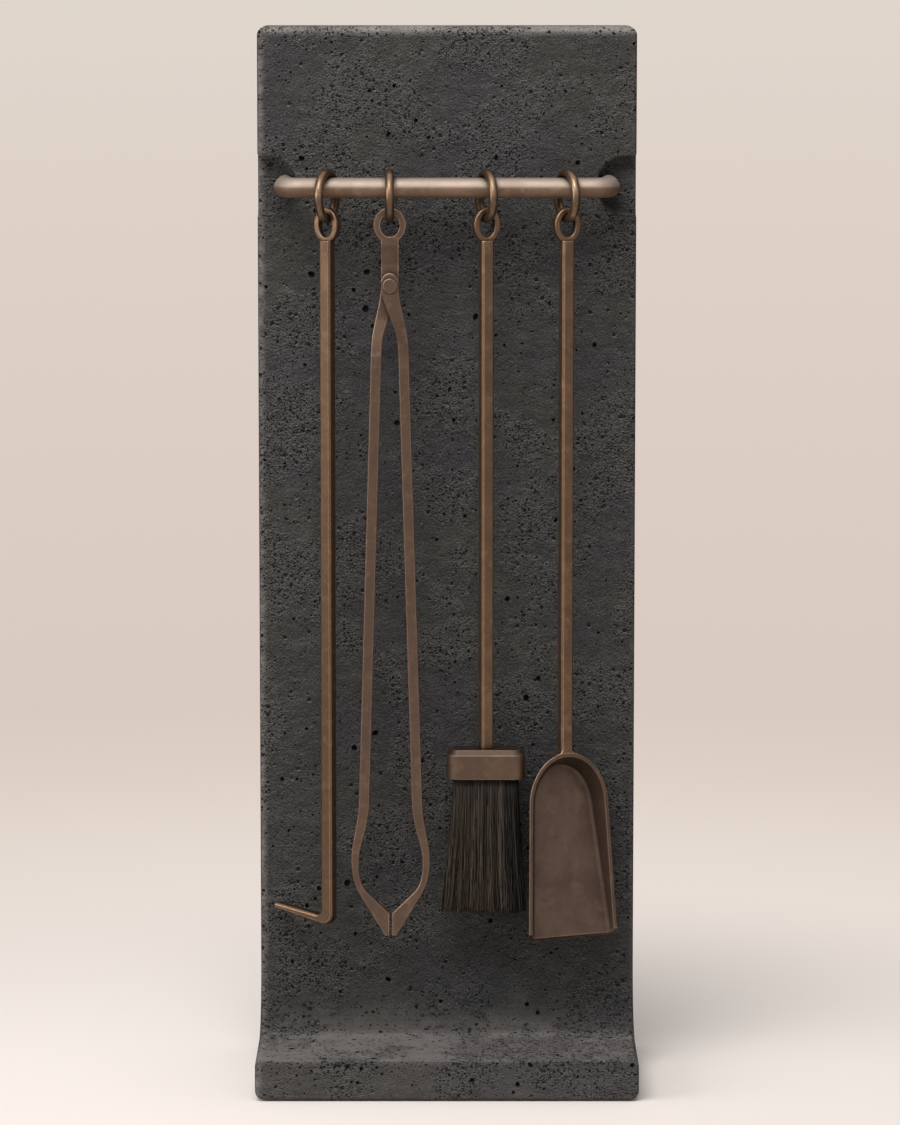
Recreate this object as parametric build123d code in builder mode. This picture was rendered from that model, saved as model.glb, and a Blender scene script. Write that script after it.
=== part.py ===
from build123d import *
from math import cos, radians, sin, sqrt, tan
import os

# Fireplace tool set: a cast stone stand with a forward foot, a round rail across its face, and four
# tools that hang from the rail on closed rings: a poker, tongs, a brush and a shovel.
# Millimetres. +Z is up and the tools face -Y. The origin is the centre of the footprint, on the floor.

# ---- stand -------------------------------------------------------------------------------------
SLAB_THICKNESS = 60.0
FOOT_REACH = 140.0            # how far the foot stands in front of the slab's face
FOOT_HEIGHT = 30.0
SWEEP_RADIUS = 50.0           # hollow sweep from the foot up into the slab's face
HEAD_ROOM = 125.0             # slab above the rail's axis
HANG_CLEARANCE = 81.0         # foot to the lowest tool
LEG_TO_SLAB_EDGE = 22.0       # rail leg's axis to the slab's side
CORNER_RADIUS = 7.0           # slab corners, seen from the front
EDGE_RADIUS = 3.5             # eased edges of the casting
RECESS_RADIUS = 23.0          # pocket round each end of the rail
RECESS_CENTRE_INSET = 8.0     # pocket's centre from the slab's side
RECESS_DEPTH = 14.0
RECESS_FLOOR_RADIUS = 6.0     # soft edge of the pocket's floor
RECESS_LIP_RADIUS = 2.5       # soft edge where the pocket meets the face
PAD_DIAMETER = 26.0
PAD_THICKNESS = 4.0
PAD_PROUD = 1.0               # how far the pads stand below the casting
PAD_INSET = 32.0              # pad's axis from the sides of the footprint
PAD_CLEARANCE = 0.2

# ---- rail and its fixings ----------------------------------------------------------------------
RAIL_DIAMETER = 16.0
RAIL_STANDOFF = 38.0          # rail's axis from the slab's face
RAIL_BEND_RADIUS = 14.0       # at the bar's axis
RAIL_END_MARGIN = 34.0        # outer tool's axis to the leg's axis
RAIL_SOCKET_DEPTH = 20.0      # full bar inside the stone, behind the pocket's floor
RAIL_SOCKET_CLEARANCE = 0.3
STUD_DIAMETER = 10.0          # turned-down end that takes the nut
STUD_CLEARANCE = 0.5
NUT_ACROSS_FLATS = 17.0
NUT_HEIGHT = 8.0
NUT_BORE_CLEARANCE = 0.05
NUT_RECESS_DIAMETER = 28.0
NUT_RECESS_DEPTH = 14.0
WASHER_DIAMETER = 22.0
WASHER_THICKNESS = 2.0
STUD_TAIL = 1.5               # stud past its nut

# ---- rings and eyes ----------------------------------------------------------------------------
WIRE_DIAMETER = 7.0
RING_MEAN_RADIUS = 18.0
RING_CLEARANCE = 0.3          # ring on rail
EYE_SEAT_CLEARANCE = 0.5      # eye on ring, at the middle of the eye's plate
EYE_WIDTH = 22.5
EYE_HEIGHT = 27.2
EYE_BAND = 4.8                # metal above the hole
EYE_HOLE_WIDTH = 12.8
EYE_HOLE_HEIGHT = 18.1
EYE_THICKNESS = 6.0
EYE_EASE = 1.0

# ---- bars --------------------------------------------------------------------------------------
BAR_WIDTH = 10.0
BAR_DEPTH = 9.0
BAR_BEVEL = 1.3

# ---- poker -------------------------------------------------------------------------------------
POKER_DROP = 587.7            # rail's axis to the heel of the hook
POKER_YAW = -35.0             # how far each tool is turned on its ring, about +Z
POKER_RING_YAW = -21.0
HOOK_REACH = 52.5             # bar's axis to the hook's point
HOOK_ROOT = 8.2               # height of the arm where it leaves the bar
HOOK_TIP = 4.2
HOOK_RISE = 7.1               # degrees, upper edge of the arm
HOOK_OUTER_RADIUS = 8.0
HOOK_INNER_RADIUS = 5.0
HOOK_TIP_RADIUS = 1.9

# ---- tongs -------------------------------------------------------------------------------------
TONGS_DROP = 595.0            # rail's axis to the jaw tips
TONGS_YAW = 0.0
TONGS_RING_YAW = 0.0
TONGS_EYE_WIDTH = 25.0
TONGS_EYE_HOLE_WIDTH = 15.3
TONGS_PLATE = 5.0             # thickness of the eye, strap and arms
TONGS_PLATE_GAP = 0.3         # free arm to strap
TONGS_EASE = 0.8              # eased edges of the plates, all round
STRAP_WIDTH = 13.8
RIVET_DROP = 76.3             # rail's axis to the rivet
BOSS_RISE = 3.0               # centre of the free arm's rounded top above the rivet
RIVET_DIAMETER = 6.0
RIVET_CLEARANCE = 0.1
RIVET_HEAD_DIAMETER = 11.4
RIVET_HEAD_HEIGHT = 1.8
RIVET_HEAD_EASE = 0.6
RIVET_WASHER_DIAMETER = 12.5
RIVET_WASHER_THICKNESS = 1.2
JOGGLE_START = 28.0           # below the rivet, where the arms step into one plane
JOGGLE_END = 56.0
STRAP_STEP_START = 17.0       # above the rivet, where the strap steps back under the eye
STRAP_STEP_END = 31.0
JOGGLE_RADIUS = 8.0
KNEE_DROP = 50.0              # below the rivet
KNEE_HALF = 14.8              # outer edge of an arm from the axis, at the knee
ARM_WIDTH = 8.4
STRAIGHT_HALF = 25.2          # outer edge where the straight run ends
JAW_HEIGHT = 109.0            # straight run's end above the tips
BULGE_HALF = 31.4
BULGE_HEIGHT = 60.0
BULGE_WIDTH = 6.1
SHOULDER_HALF = 25.4
SHOULDER_HEIGHT = 34.6
SHOULDER_WIDTH = 7.1
JAW_FACE = 18.0               # height of the gripping face
JAW_GAP = 2.6
TIP_WIDTH = 3.6

# ---- brush -------------------------------------------------------------------------------------
BRUSH_DROP = 576.5            # rail's axis to the bristle tips
BRUSH_YAW = 24.0
BRUSH_RING_YAW = 18.0
BRUSH_HEAD_YAW = 0.0          # where the head came tight on the rod's thread
FERRULE_WIDTH = 62.4
FERRULE_DEPTH = 30.0
FERRULE_HEIGHT = 23.4
FERRULE_CORNER = 10.0
FERRULE_CHAMFER = 4.0
FERRULE_EDGE_EASE = 0.9       # eased edges at both ends of its upright walls
FERRULE_WALL = 2.0
BLOCK_HEIGHT = 14.0
BLOCK_CLEARANCE = 0.15
BLOCK_CHAMFER = 3.3
SPIGOT_DIAMETER = 6.0
SPIGOT_LENGTH = 11.0
SPIGOT_CLEARANCE = 0.2
HEAD_NUT_ACROSS_FLATS = 10.0
HEAD_NUT_HEIGHT = 5.0
HEAD_NUT_POCKET = 12.6
BRISTLE_LENGTH = 109.0        # below the ferrule
BRISTLE_TOP_WIDTH = 51.6
BRISTLE_TOP_DEPTH = 20.0
BRISTLE_END_WIDTH = 62.0
BRISTLE_END_DEPTH = 25.0
BRISTLE_CORNER = 6.0

# ---- shovel ------------------------------------------------------------------------------------
SHOVEL_DROP = 595.0           # rail's axis to the pan's lip
SHOVEL_YAW = 24.0
SHOVEL_RING_YAW = 22.0
PAN_LENGTH = 148.4            # arch to lip, along the rim
PAN_CROWN_RADIUS = 30.5       # middle of the arch
PAN_CROWN_ANGLE = 48.0        # degrees, each side of the middle
PAN_SPRING_HALF = 34.7        # half the width where the arch meets the sides
PAN_FLARE = 2.4               # degrees, sides of the rim
PAN_TILT = 4.8                # degrees, lip forward of the bar
PAN_DRAFT = 24.0              # degrees, walls
PAN_WALL = 3.0
PAN_HEEL_DEPTH = 21.0         # rim to the outside of the floor, at the heel
PAN_LIP_DEPTH = 8.0           # the same at the lip
PAN_LIP_OVERHANG = 6.0        # floor past the rim's ends
PAN_FLOOR_RADIUS = 5.0
PAN_EDGE_EASE = 0.6           # eased edges of the rim
TOE_RADIUS = 4.5              # the bar's spread where it meets the rim
PAN_OVERRUN = 70.0            # how far the pan is drawn past its lip before it is trimmed

# ---- gaps between the hanging tools ------------------------------------------------------------
POKER_TO_TONGS = 11.0
TONGS_TO_BRUSH = 13.0
BRUSH_TO_SHOVEL = 2.9

SAME = 0.01                   # what counts as the same place when edges are picked

# ---- derived sizes -----------------------------------------------------------------------------
DEPTH = SLAB_THICKNESS + FOOT_REACH
FACE_Y = DEPTH / 2 - SLAB_THICKNESS
RAIL_Y = FACE_Y - RAIL_STANDOFF
RAIL_Z = PAD_PROUD + FOOT_HEIGHT + HANG_CLEARANCE + max(POKER_DROP, TONGS_DROP, BRUSH_DROP, SHOVEL_DROP)
SLAB_TOP = RAIL_Z + HEAD_ROOM

RING_Z = RAIL_Z + RAIL_DIAMETER / 2 + RING_CLEARANCE + WIRE_DIAMETER / 2 - RING_MEAN_RADIUS
SEAT_Z = RING_Z - RING_MEAN_RADIUS + WIRE_DIAMETER / 2 + EYE_SEAT_CLEARANCE
EYE_CENTRE_Z = SEAT_Z + EYE_BAND - EYE_HEIGHT / 2
EYE_HOLE_Z = SEAT_Z - EYE_HOLE_HEIGHT / 2
BAR_TOP_Z = EYE_CENTRE_Z - EYE_HEIGHT / 2 * sqrt(1 - (BAR_WIDTH / EYE_WIDTH) ** 2)

HOOK_HEEL_Z = RAIL_Z - POKER_DROP
RIVET_Z = RAIL_Z - RIVET_DROP
TIP_Z = RAIL_Z - TONGS_DROP
FERRULE_BOTTOM_Z = RAIL_Z - BRUSH_DROP + BRISTLE_LENGTH
FERRULE_TOP_Z = FERRULE_BOTTOM_Z + FERRULE_HEIGHT
LIP_Z = RAIL_Z - SHOVEL_DROP
PAN_TOP_Z = LIP_Z + PAN_LENGTH * cos(radians(PAN_TILT))

# places of the tools along the rail, from what each takes up on either side of its axis
bar_side = BAR_WIDTH / 2 * cos(radians(POKER_YAW)) + BAR_DEPTH / 2 * abs(sin(radians(POKER_YAW)))
head_side = max(FERRULE_WIDTH, BRISTLE_END_WIDTH) / 2
pan_flare = radians(PAN_FLARE)
pan_crown = radians(PAN_CROWN_ANGLE)
PAN_SIDE_RADIUS = (PAN_SPRING_HALF - PAN_CROWN_RADIUS * sin(pan_crown)) / (cos(pan_flare) - sin(pan_crown))
pan_radius_step = PAN_SIDE_RADIUS - PAN_CROWN_RADIUS
pan_spring_drop = PAN_CROWN_RADIUS + pan_radius_step * cos(pan_crown) - PAN_SIDE_RADIUS * sin(pan_flare)
pan_lip_half = PAN_SPRING_HALF + (PAN_LENGTH - pan_spring_drop) * tan(pan_flare)
pan_lip_forward = BAR_DEPTH / 2 + PAN_LENGTH * sin(radians(PAN_TILT))
pan_side = pan_lip_half * cos(radians(SHOVEL_YAW)) - pan_lip_forward * sin(radians(SHOVEL_YAW))
to_tongs = bar_side + POKER_TO_TONGS + BULGE_HALF
to_brush = to_tongs + BULGE_HALF + TONGS_TO_BRUSH + head_side
to_shovel = to_brush + head_side + BRUSH_TO_SHOVEL + pan_side
POKER_X = -to_shovel / 2
TONGS_X = POKER_X + to_tongs
BRUSH_X = POKER_X + to_brush
SHOVEL_X = POKER_X + to_shovel
LEG_X = to_shovel / 2 + RAIL_END_MARGIN
SLAB_WIDTH = 2 * (LEG_X + LEG_TO_SLAB_EDGE)

os.makedirs("parts", exist_ok=True)


def save(piece, label):
    """Labels a finished piece and writes it to its own file."""
    piece.part.label = label
    export_step(piece.part, f"parts/{label}.step")


def face_plane(axis_x, yaw, forward=0.0):
    """Plane that faces a tool's front: x along its width, y up, `forward` in front of its axis."""
    turn = radians(yaw)
    return Plane(
        origin=(axis_x + forward * sin(turn), RAIL_Y - forward * cos(turn), 0),
        x_dir=(cos(turn), sin(turn), 0),
        z_dir=(sin(turn), -cos(turn), 0),
    )


def level_plane(axis_x, yaw, height):
    """Level plane on a tool's axis: x along its width, y towards its back."""
    turn = radians(yaw)
    return Plane(origin=(axis_x, RAIL_Y, height), x_dir=(cos(turn), sin(turn), 0), z_dir=(0, 0, 1))


def side_plane(axis_x, yaw):
    """Upright plane through a tool's axis: x towards its front, y up."""
    turn = radians(yaw)
    return Plane(
        origin=(axis_x, RAIL_Y, 0),
        x_dir=(sin(turn), -cos(turn), 0),
        z_dir=(-cos(turn), -sin(turn), 0),
    )


# ---- stand -------------------------------------------------------------------------------------
def make_slab():
    """Cast stone slab and foot in one, with the rail's pockets, sockets and nut recesses."""
    with BuildPart() as slab:
        with BuildSketch(Plane.YZ.offset(-SLAB_WIDTH / 2)):
            with BuildLine():
                foot_top = PAD_PROUD + FOOT_HEIGHT
                Polyline(
                    (-DEPTH / 2, PAD_PROUD),
                    (DEPTH / 2, PAD_PROUD),
                    (DEPTH / 2, SLAB_TOP),
                    (FACE_Y, SLAB_TOP),
                    (FACE_Y, foot_top + SWEEP_RADIUS),
                )
                RadiusArc((FACE_Y, foot_top + SWEEP_RADIUS), (FACE_Y - SWEEP_RADIUS, foot_top), SWEEP_RADIUS)
                Polyline((FACE_Y - SWEEP_RADIUS, foot_top), (-DEPTH / 2, foot_top), (-DEPTH / 2, PAD_PROUD))
            make_face()
        extrude(amount=SLAB_WIDTH)
        corners = slab.edges().filter_by(Axis.Y).group_by(Axis.Z)
        fillet(corners[-1] + corners[0], CORNER_RADIUS)
        outline = slab.faces().filter_by(GeomType.PLANE).filter_by(Axis.Y)
        fillet(outline.sort_by(Axis.Y)[-1].edges(), EDGE_RADIUS)
        front = slab.edges().filter_by(lambda e: abs(abs(e.center().X) - SLAB_WIDTH / 2) < SAME)
        fillet(front.filter_by(lambda e: e.center().Y < FACE_Y + SAME), EDGE_RADIUS)
        for side in (-1, 1):
            add(pocket_core(side), mode=Mode.SUBTRACT)
            on_face = slab.edges().filter_by(lambda e: abs(e.center().Y - FACE_Y) < SAME)
            at_pocket = on_face.filter_by(lambda e: abs(e.center().Z - RAIL_Z) < RECESS_RADIUS + SAME)
            fillet(at_pocket.filter_by(lambda e: e.center().X * side > 0), RECESS_LIP_RADIUS)
            with BuildSketch(Plane.XZ.offset(-FACE_Y - RECESS_DEPTH + RECESS_FLOOR_RADIUS)):
                with Locations((side * LEG_X, RAIL_Z)):
                    Circle(RAIL_DIAMETER / 2 + RAIL_SOCKET_CLEARANCE)
            extrude(amount=-RECESS_FLOOR_RADIUS - RAIL_SOCKET_DEPTH, mode=Mode.SUBTRACT)
            with BuildSketch(Plane.XZ.offset(-DEPTH / 2)):
                with Locations((side * LEG_X, RAIL_Z)):
                    Circle(STUD_DIAMETER / 2 + STUD_CLEARANCE)
            extrude(amount=SLAB_THICKNESS - RECESS_DEPTH - RAIL_SOCKET_DEPTH, mode=Mode.SUBTRACT)
            with BuildSketch(Plane.XZ.offset(-DEPTH / 2)):
                with Locations((side * LEG_X, RAIL_Z)):
                    Circle(NUT_RECESS_DIAMETER / 2)
            extrude(amount=NUT_RECESS_DEPTH, mode=Mode.SUBTRACT)
        with BuildSketch(Plane.XY.offset(PAD_PROUD)):
            with Locations(*pad_places()):
                Circle(PAD_DIAMETER / 2 + PAD_CLEARANCE)
        extrude(amount=PAD_THICKNESS - PAD_PROUD, mode=Mode.SUBTRACT)
    return slab


def pocket_core(side):
    """Core that leaves the pocket at one end of the rail: round, and open to the slab's side."""
    with BuildPart() as core:
        with BuildSketch(Plane.XZ.offset(-FACE_Y - RECESS_DEPTH)):
            with Locations((side * (SLAB_WIDTH / 2 - RECESS_CENTRE_INSET), RAIL_Z)):
                Circle(RECESS_RADIUS)
                Rectangle(
                    RECESS_CENTRE_INSET + 2 * RECESS_FLOOR_RADIUS,
                    2 * RECESS_RADIUS,
                    align=(Align.MIN if side > 0 else Align.MAX, Align.CENTER),
                )
        extrude(amount=2 * RECESS_DEPTH)
        fillet(core.faces().sort_by(Axis.Y)[-1].edges(), RECESS_FLOOR_RADIUS)
    return core.part


def pad_places():
    """Centres of the four pads, in from the corners of the footprint."""
    across = SLAB_WIDTH / 2 - PAD_INSET
    along = DEPTH / 2 - PAD_INSET
    return [(side * across, end * along) for end in (-1, 1) for side in (-1, 1)]


save(make_slab(), "stand_slab")

for number, place in enumerate(pad_places(), start=1):
    with BuildPart() as base_pad:
        with BuildSketch():
            with Locations(place):
                Circle(PAD_DIAMETER / 2)
        extrude(amount=PAD_THICKNESS)
    save(base_pad, f"base_pad_{number}")

# round bar: across the face, bent back at both ends into the stone, and turned down to studs
shoulder_y = FACE_Y + RECESS_DEPTH + RAIL_SOCKET_DEPTH
nut_seat_y = DEPTH / 2 - NUT_RECESS_DEPTH
stud_end_y = nut_seat_y + WASHER_THICKNESS + NUT_HEIGHT + STUD_TAIL
with BuildPart() as rail:
    with BuildLine():
        FilletPolyline(
            (-LEG_X, shoulder_y, RAIL_Z),
            (-LEG_X, RAIL_Y, RAIL_Z),
            (LEG_X, RAIL_Y, RAIL_Z),
            (LEG_X, shoulder_y, RAIL_Z),
            radius=RAIL_BEND_RADIUS,
        )
    with BuildSketch(Plane(origin=(-LEG_X, shoulder_y, RAIL_Z), z_dir=(0, -1, 0))):
        Circle(RAIL_DIAMETER / 2)
    sweep()
    with BuildSketch(Plane.XZ.offset(-shoulder_y)):
        with Locations((-LEG_X, RAIL_Z), (LEG_X, RAIL_Z)):
            Circle(STUD_DIAMETER / 2)
    extrude(amount=shoulder_y - stud_end_y)
save(rail, "rail")

for side, name in ((-1, "left"), (1, "right")):
    with BuildPart() as rail_washer:
        with BuildSketch(Plane.XZ.offset(-nut_seat_y)):
            with Locations((side * LEG_X, RAIL_Z)):
                Circle(WASHER_DIAMETER / 2)
                Circle(STUD_DIAMETER / 2 + STUD_CLEARANCE, mode=Mode.SUBTRACT)
        extrude(amount=-WASHER_THICKNESS)
    save(rail_washer, f"rail_washer_{name}")
    with BuildPart() as rail_nut:
        with BuildSketch(Plane.XZ.offset(-nut_seat_y - WASHER_THICKNESS)):
            with Locations((side * LEG_X, RAIL_Z)):
                RegularPolygon(NUT_ACROSS_FLATS / 2, 6, major_radius=False)
                Circle(STUD_DIAMETER / 2 + NUT_BORE_CLEARANCE, mode=Mode.SUBTRACT)
        extrude(amount=-NUT_HEIGHT)
    save(rail_nut, f"rail_nut_{name}")


# ---- rings, eyes and bars ----------------------------------------------------------------------
def make_ring(axis_x, yaw):
    """Closed ring of round wire that hangs on the rail, its plane turned by yaw."""
    turn = radians(yaw)
    with BuildPart() as ring:
        with Locations(Plane(origin=(axis_x, RAIL_Y, RING_Z), z_dir=(cos(turn), sin(turn), 0))):
            Torus(RING_MEAN_RADIUS, WIRE_DIAMETER / 2)
    return ring


def make_eye(axis_x, yaw):
    """Flat oval eye plate, cut off level where the bar is welded to it."""
    with BuildPart() as eye:
        with BuildSketch(face_plane(axis_x, yaw, -EYE_THICKNESS / 2)):
            with Locations((0, EYE_CENTRE_Z)):
                Ellipse(EYE_WIDTH / 2, EYE_HEIGHT / 2)
            with Locations((0, EYE_HOLE_Z)):
                Ellipse(EYE_HOLE_WIDTH / 2, EYE_HOLE_HEIGHT / 2, mode=Mode.SUBTRACT)
            with Locations((0, BAR_TOP_Z)):
                Rectangle(EYE_WIDTH, EYE_HEIGHT, align=(Align.CENTER, Align.MAX), mode=Mode.SUBTRACT)
        extrude(amount=EYE_THICKNESS)
        fillet(eye.edges().filter_by(GeomType.ELLIPSE), EYE_EASE)
    return eye


def make_bar(axis_x, yaw, bottom_z):
    """Straight bar from the eye down to bottom_z, with its four long edges bevelled."""
    with BuildPart() as bar:
        with BuildSketch(level_plane(axis_x, yaw, bottom_z)):
            Rectangle(BAR_WIDTH, BAR_DEPTH)
        extrude(amount=BAR_TOP_Z - bottom_z)
        chamfer(bar.edges().filter_by(Axis.Z), BAR_BEVEL)
    return bar


save(make_ring(POKER_X, POKER_RING_YAW), "poker_ring")
save(make_ring(TONGS_X, TONGS_RING_YAW), "tongs_ring")
save(make_ring(BRUSH_X, BRUSH_RING_YAW), "brush_ring")
save(make_ring(SHOVEL_X, SHOVEL_RING_YAW), "shovel_ring")

# ---- poker -------------------------------------------------------------------------------------
save(make_eye(POKER_X, POKER_YAW), "poker_eye")

hook_top_z = HOOK_HEEL_Z + HOOK_ROOT
tip_top_z = hook_top_z + (HOOK_REACH - BAR_WIDTH / 2) * tan(radians(HOOK_RISE))
with BuildPart() as poker_rod:
    with BuildSketch(face_plane(POKER_X, POKER_YAW, -BAR_DEPTH / 2)) as poker_outline:
        with BuildLine():
            Polyline(
                (-BAR_WIDTH / 2, BAR_TOP_Z),
                (BAR_WIDTH / 2, BAR_TOP_Z),
                (BAR_WIDTH / 2, HOOK_HEEL_Z),
                (-HOOK_REACH, tip_top_z - HOOK_TIP),
                (-HOOK_REACH, tip_top_z),
                (-BAR_WIDTH / 2, hook_top_z),
                close=True,
            )
        make_face()
        fillet(poker_outline.vertices().sort_by(Axis.Y)[0], HOOK_OUTER_RADIUS)
        fillet(poker_outline.vertices().group_by(Axis.X)[0], HOOK_TIP_RADIUS)
        inner = poker_outline.vertices().sort_by_distance((-BAR_WIDTH / 2, hook_top_z))[0]
        fillet(inner, HOOK_INNER_RADIUS)
    extrude(amount=BAR_DEPTH)
    front, back = poker_rod.faces().sort_by(SortBy.AREA)[-2:]
    rims = front.edges() + back.edges()
    chamfer(rims.filter_by(lambda e: e.center().Z < BAR_TOP_Z - SAME), BAR_BEVEL)
save(poker_rod, "poker_rod")


# ---- tongs -------------------------------------------------------------------------------------
def arm_outline(side):
    """Outline of one arm from the front, rounded top to jaw. side is 1 for the right, -1 for the left."""
    strap_half = STRAP_WIDTH / 2
    jaw_half = JAW_GAP / 2
    top_left = (-side * strap_half, RIVET_Z + BOSS_RISE)
    top = (0, RIVET_Z + BOSS_RISE + strap_half)
    top_right = (side * strap_half, RIVET_Z + BOSS_RISE)
    knee_out = (side * KNEE_HALF, RIVET_Z - KNEE_DROP)
    knee_in = (side * (KNEE_HALF - ARM_WIDTH), RIVET_Z - KNEE_DROP)
    run_out = (side * STRAIGHT_HALF, TIP_Z + JAW_HEIGHT)
    run_in = (side * (STRAIGHT_HALF - ARM_WIDTH), TIP_Z + JAW_HEIGHT)
    bulge_out = (side * BULGE_HALF, TIP_Z + BULGE_HEIGHT)
    bulge_in = (side * (BULGE_HALF - BULGE_WIDTH), TIP_Z + BULGE_HEIGHT)
    shoulder_out = (side * SHOULDER_HALF, TIP_Z + SHOULDER_HEIGHT)
    shoulder_in = (side * (SHOULDER_HALF - SHOULDER_WIDTH), TIP_Z + SHOULDER_HEIGHT)
    tip_out = (side * (jaw_half + TIP_WIDTH), TIP_Z)
    tip_in = (side * jaw_half, TIP_Z)
    face_top = (side * jaw_half, TIP_Z + JAW_FACE)

    down = Vector(*run_out) - Vector(*knee_out)
    outer_slope = Vector(*tip_out) - Vector(*shoulder_out)
    inner_slope = Vector(*shoulder_in) - Vector(*face_top)
    ThreePointArc(top_left, top, top_right)
    Spline(top_right, knee_out, tangents=[(0, -1), down])
    Line(knee_out, run_out)
    Spline(run_out, bulge_out, shoulder_out, tangents=[down, outer_slope])
    Polyline(shoulder_out, tip_out, tip_in, face_top, shoulder_in)
    Spline(shoulder_in, bulge_in, run_in, tangents=[inner_slope, -down])
    Line(run_in, knee_in)
    Spline(knee_in, top_left, tangents=[-down, (0, 1)])


def joggled_band(side):
    """Side view of a tongs plate: in the eye's plane at both ends, and stepped by side at the rivet."""
    half = TONGS_PLATE / 2
    step = side * (half + TONGS_PLATE_GAP / 2)
    knots = [
        (0, TIP_Z - TONGS_PLATE),
        (0, RIVET_Z - JOGGLE_END),
        (step, RIVET_Z - JOGGLE_START),
        (step, RIVET_Z + STRAP_STEP_START),
        (0, RIVET_Z + STRAP_STEP_END),
        (0, SEAT_Z + EYE_BAND + TONGS_PLATE),
    ]
    Polyline([(x + half, z) for x, z in knots] + [(x - half, z) for x, z in reversed(knots)], close=True)


def plate_band(side):
    """Solid band that holds all of a tongs plate, as wide as the tongs and bent as the plate is."""
    with BuildPart() as solid:
        with BuildSketch(side_plane(TONGS_X, TONGS_YAW)) as band:
            with BuildLine():
                joggled_band(side)
            make_face()
            bends = band.vertices().filter_by(lambda v: TIP_Z < v.Y < SEAT_Z + EYE_BAND)
            fillet(bends, JOGGLE_RADIUS)
        extrude(amount=2 * BULGE_HALF, both=True)
    return solid.part


rivet_hole = RIVET_DIAMETER / 2 + RIVET_CLEARANCE
plate_step = TONGS_PLATE / 2 + TONGS_PLATE_GAP / 2
blank_half = 2 * TONGS_PLATE  # the plates are cut from a blank this far in front of and behind the axis
tongs_front = face_plane(TONGS_X, TONGS_YAW, blank_half)

# the fixed piece: eye, strap and left-hand arm in one
with BuildPart() as tongs_fixed_arm:
    with BuildSketch(tongs_front):
        with BuildLine():
            arm_outline(-1)
        make_face()
        with Locations((0, EYE_CENTRE_Z)):
            Ellipse(TONGS_EYE_WIDTH / 2, EYE_HEIGHT / 2)
        with Locations((0, RIVET_Z)):
            Rectangle(STRAP_WIDTH, EYE_CENTRE_Z - RIVET_Z, align=(Align.CENTER, Align.MIN))
        with Locations((0, EYE_HOLE_Z)):
            Ellipse(TONGS_EYE_HOLE_WIDTH / 2, EYE_HOLE_HEIGHT / 2, mode=Mode.SUBTRACT)
        with Locations((0, RIVET_Z)):
            Circle(RIVET_DIAMETER / 2, mode=Mode.SUBTRACT)
    extrude(amount=-2 * blank_half)
    add(plate_band(-1), mode=Mode.INTERSECT)
    fillet(tongs_fixed_arm.edges().filter_by(GeomType.ELLIPSE), TONGS_EASE)
save(tongs_fixed_arm, "tongs_fixed_arm")

# the free arm turns on the rivet, in front of the strap
with BuildPart() as tongs_free_arm:
    with BuildSketch(tongs_front):
        with BuildLine():
            arm_outline(1)
        make_face()
        with Locations((0, RIVET_Z)):
            Circle(rivet_hole, mode=Mode.SUBTRACT)
    extrude(amount=-2 * blank_half)
    add(plate_band(1), mode=Mode.INTERSECT)
    fillet(tongs_free_arm.edges().sort_by(Axis.Z)[-2:], TONGS_EASE)
save(tongs_free_arm, "tongs_free_arm")

# rivet with a flat head in front of the free arm, and its washer behind the strap
head_seat = plate_step + TONGS_PLATE / 2 + TONGS_PLATE_GAP
back_seat = plate_step + TONGS_PLATE / 2
tail_seat = back_seat + RIVET_WASHER_THICKNESS
with BuildPart() as tongs_rivet:
    with BuildSketch(face_plane(TONGS_X, TONGS_YAW, head_seat)):
        with Locations((0, RIVET_Z)):
            Circle(RIVET_HEAD_DIAMETER / 2)
    extrude(amount=RIVET_HEAD_HEIGHT)
    with BuildSketch(face_plane(TONGS_X, TONGS_YAW, -tail_seat)):
        with Locations((0, RIVET_Z)):
            Circle(RIVET_HEAD_DIAMETER / 2)
    extrude(amount=-RIVET_HEAD_HEIGHT)
    head_rims = tongs_rivet.edges().filter_by(GeomType.CIRCLE).group_by(Axis.Y)
    fillet(head_rims[0] + head_rims[-1], RIVET_HEAD_EASE)
    with BuildSketch(face_plane(TONGS_X, TONGS_YAW, head_seat)):
        with Locations((0, RIVET_Z)):
            Circle(RIVET_DIAMETER / 2)
    extrude(amount=-head_seat - tail_seat)
save(tongs_rivet, "tongs_rivet")

with BuildPart() as tongs_washer:
    with BuildSketch(face_plane(TONGS_X, TONGS_YAW, -back_seat)):
        with Locations((0, RIVET_Z)):
            Circle(RIVET_WASHER_DIAMETER / 2)
            Circle(RIVET_DIAMETER / 2, mode=Mode.SUBTRACT)
    extrude(amount=-RIVET_WASHER_THICKNESS)
save(tongs_washer, "tongs_washer")

# ---- brush -------------------------------------------------------------------------------------
save(make_eye(BRUSH_X, BRUSH_YAW), "brush_eye")

with BuildPart() as brush_rod:
    add(make_bar(BRUSH_X, BRUSH_YAW, FERRULE_TOP_Z).part)
    with BuildSketch(level_plane(BRUSH_X, BRUSH_YAW, FERRULE_TOP_Z)):
        Circle(SPIGOT_DIAMETER / 2)
    extrude(amount=-SPIGOT_LENGTH)
save(brush_rod, "brush_rod")

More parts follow.
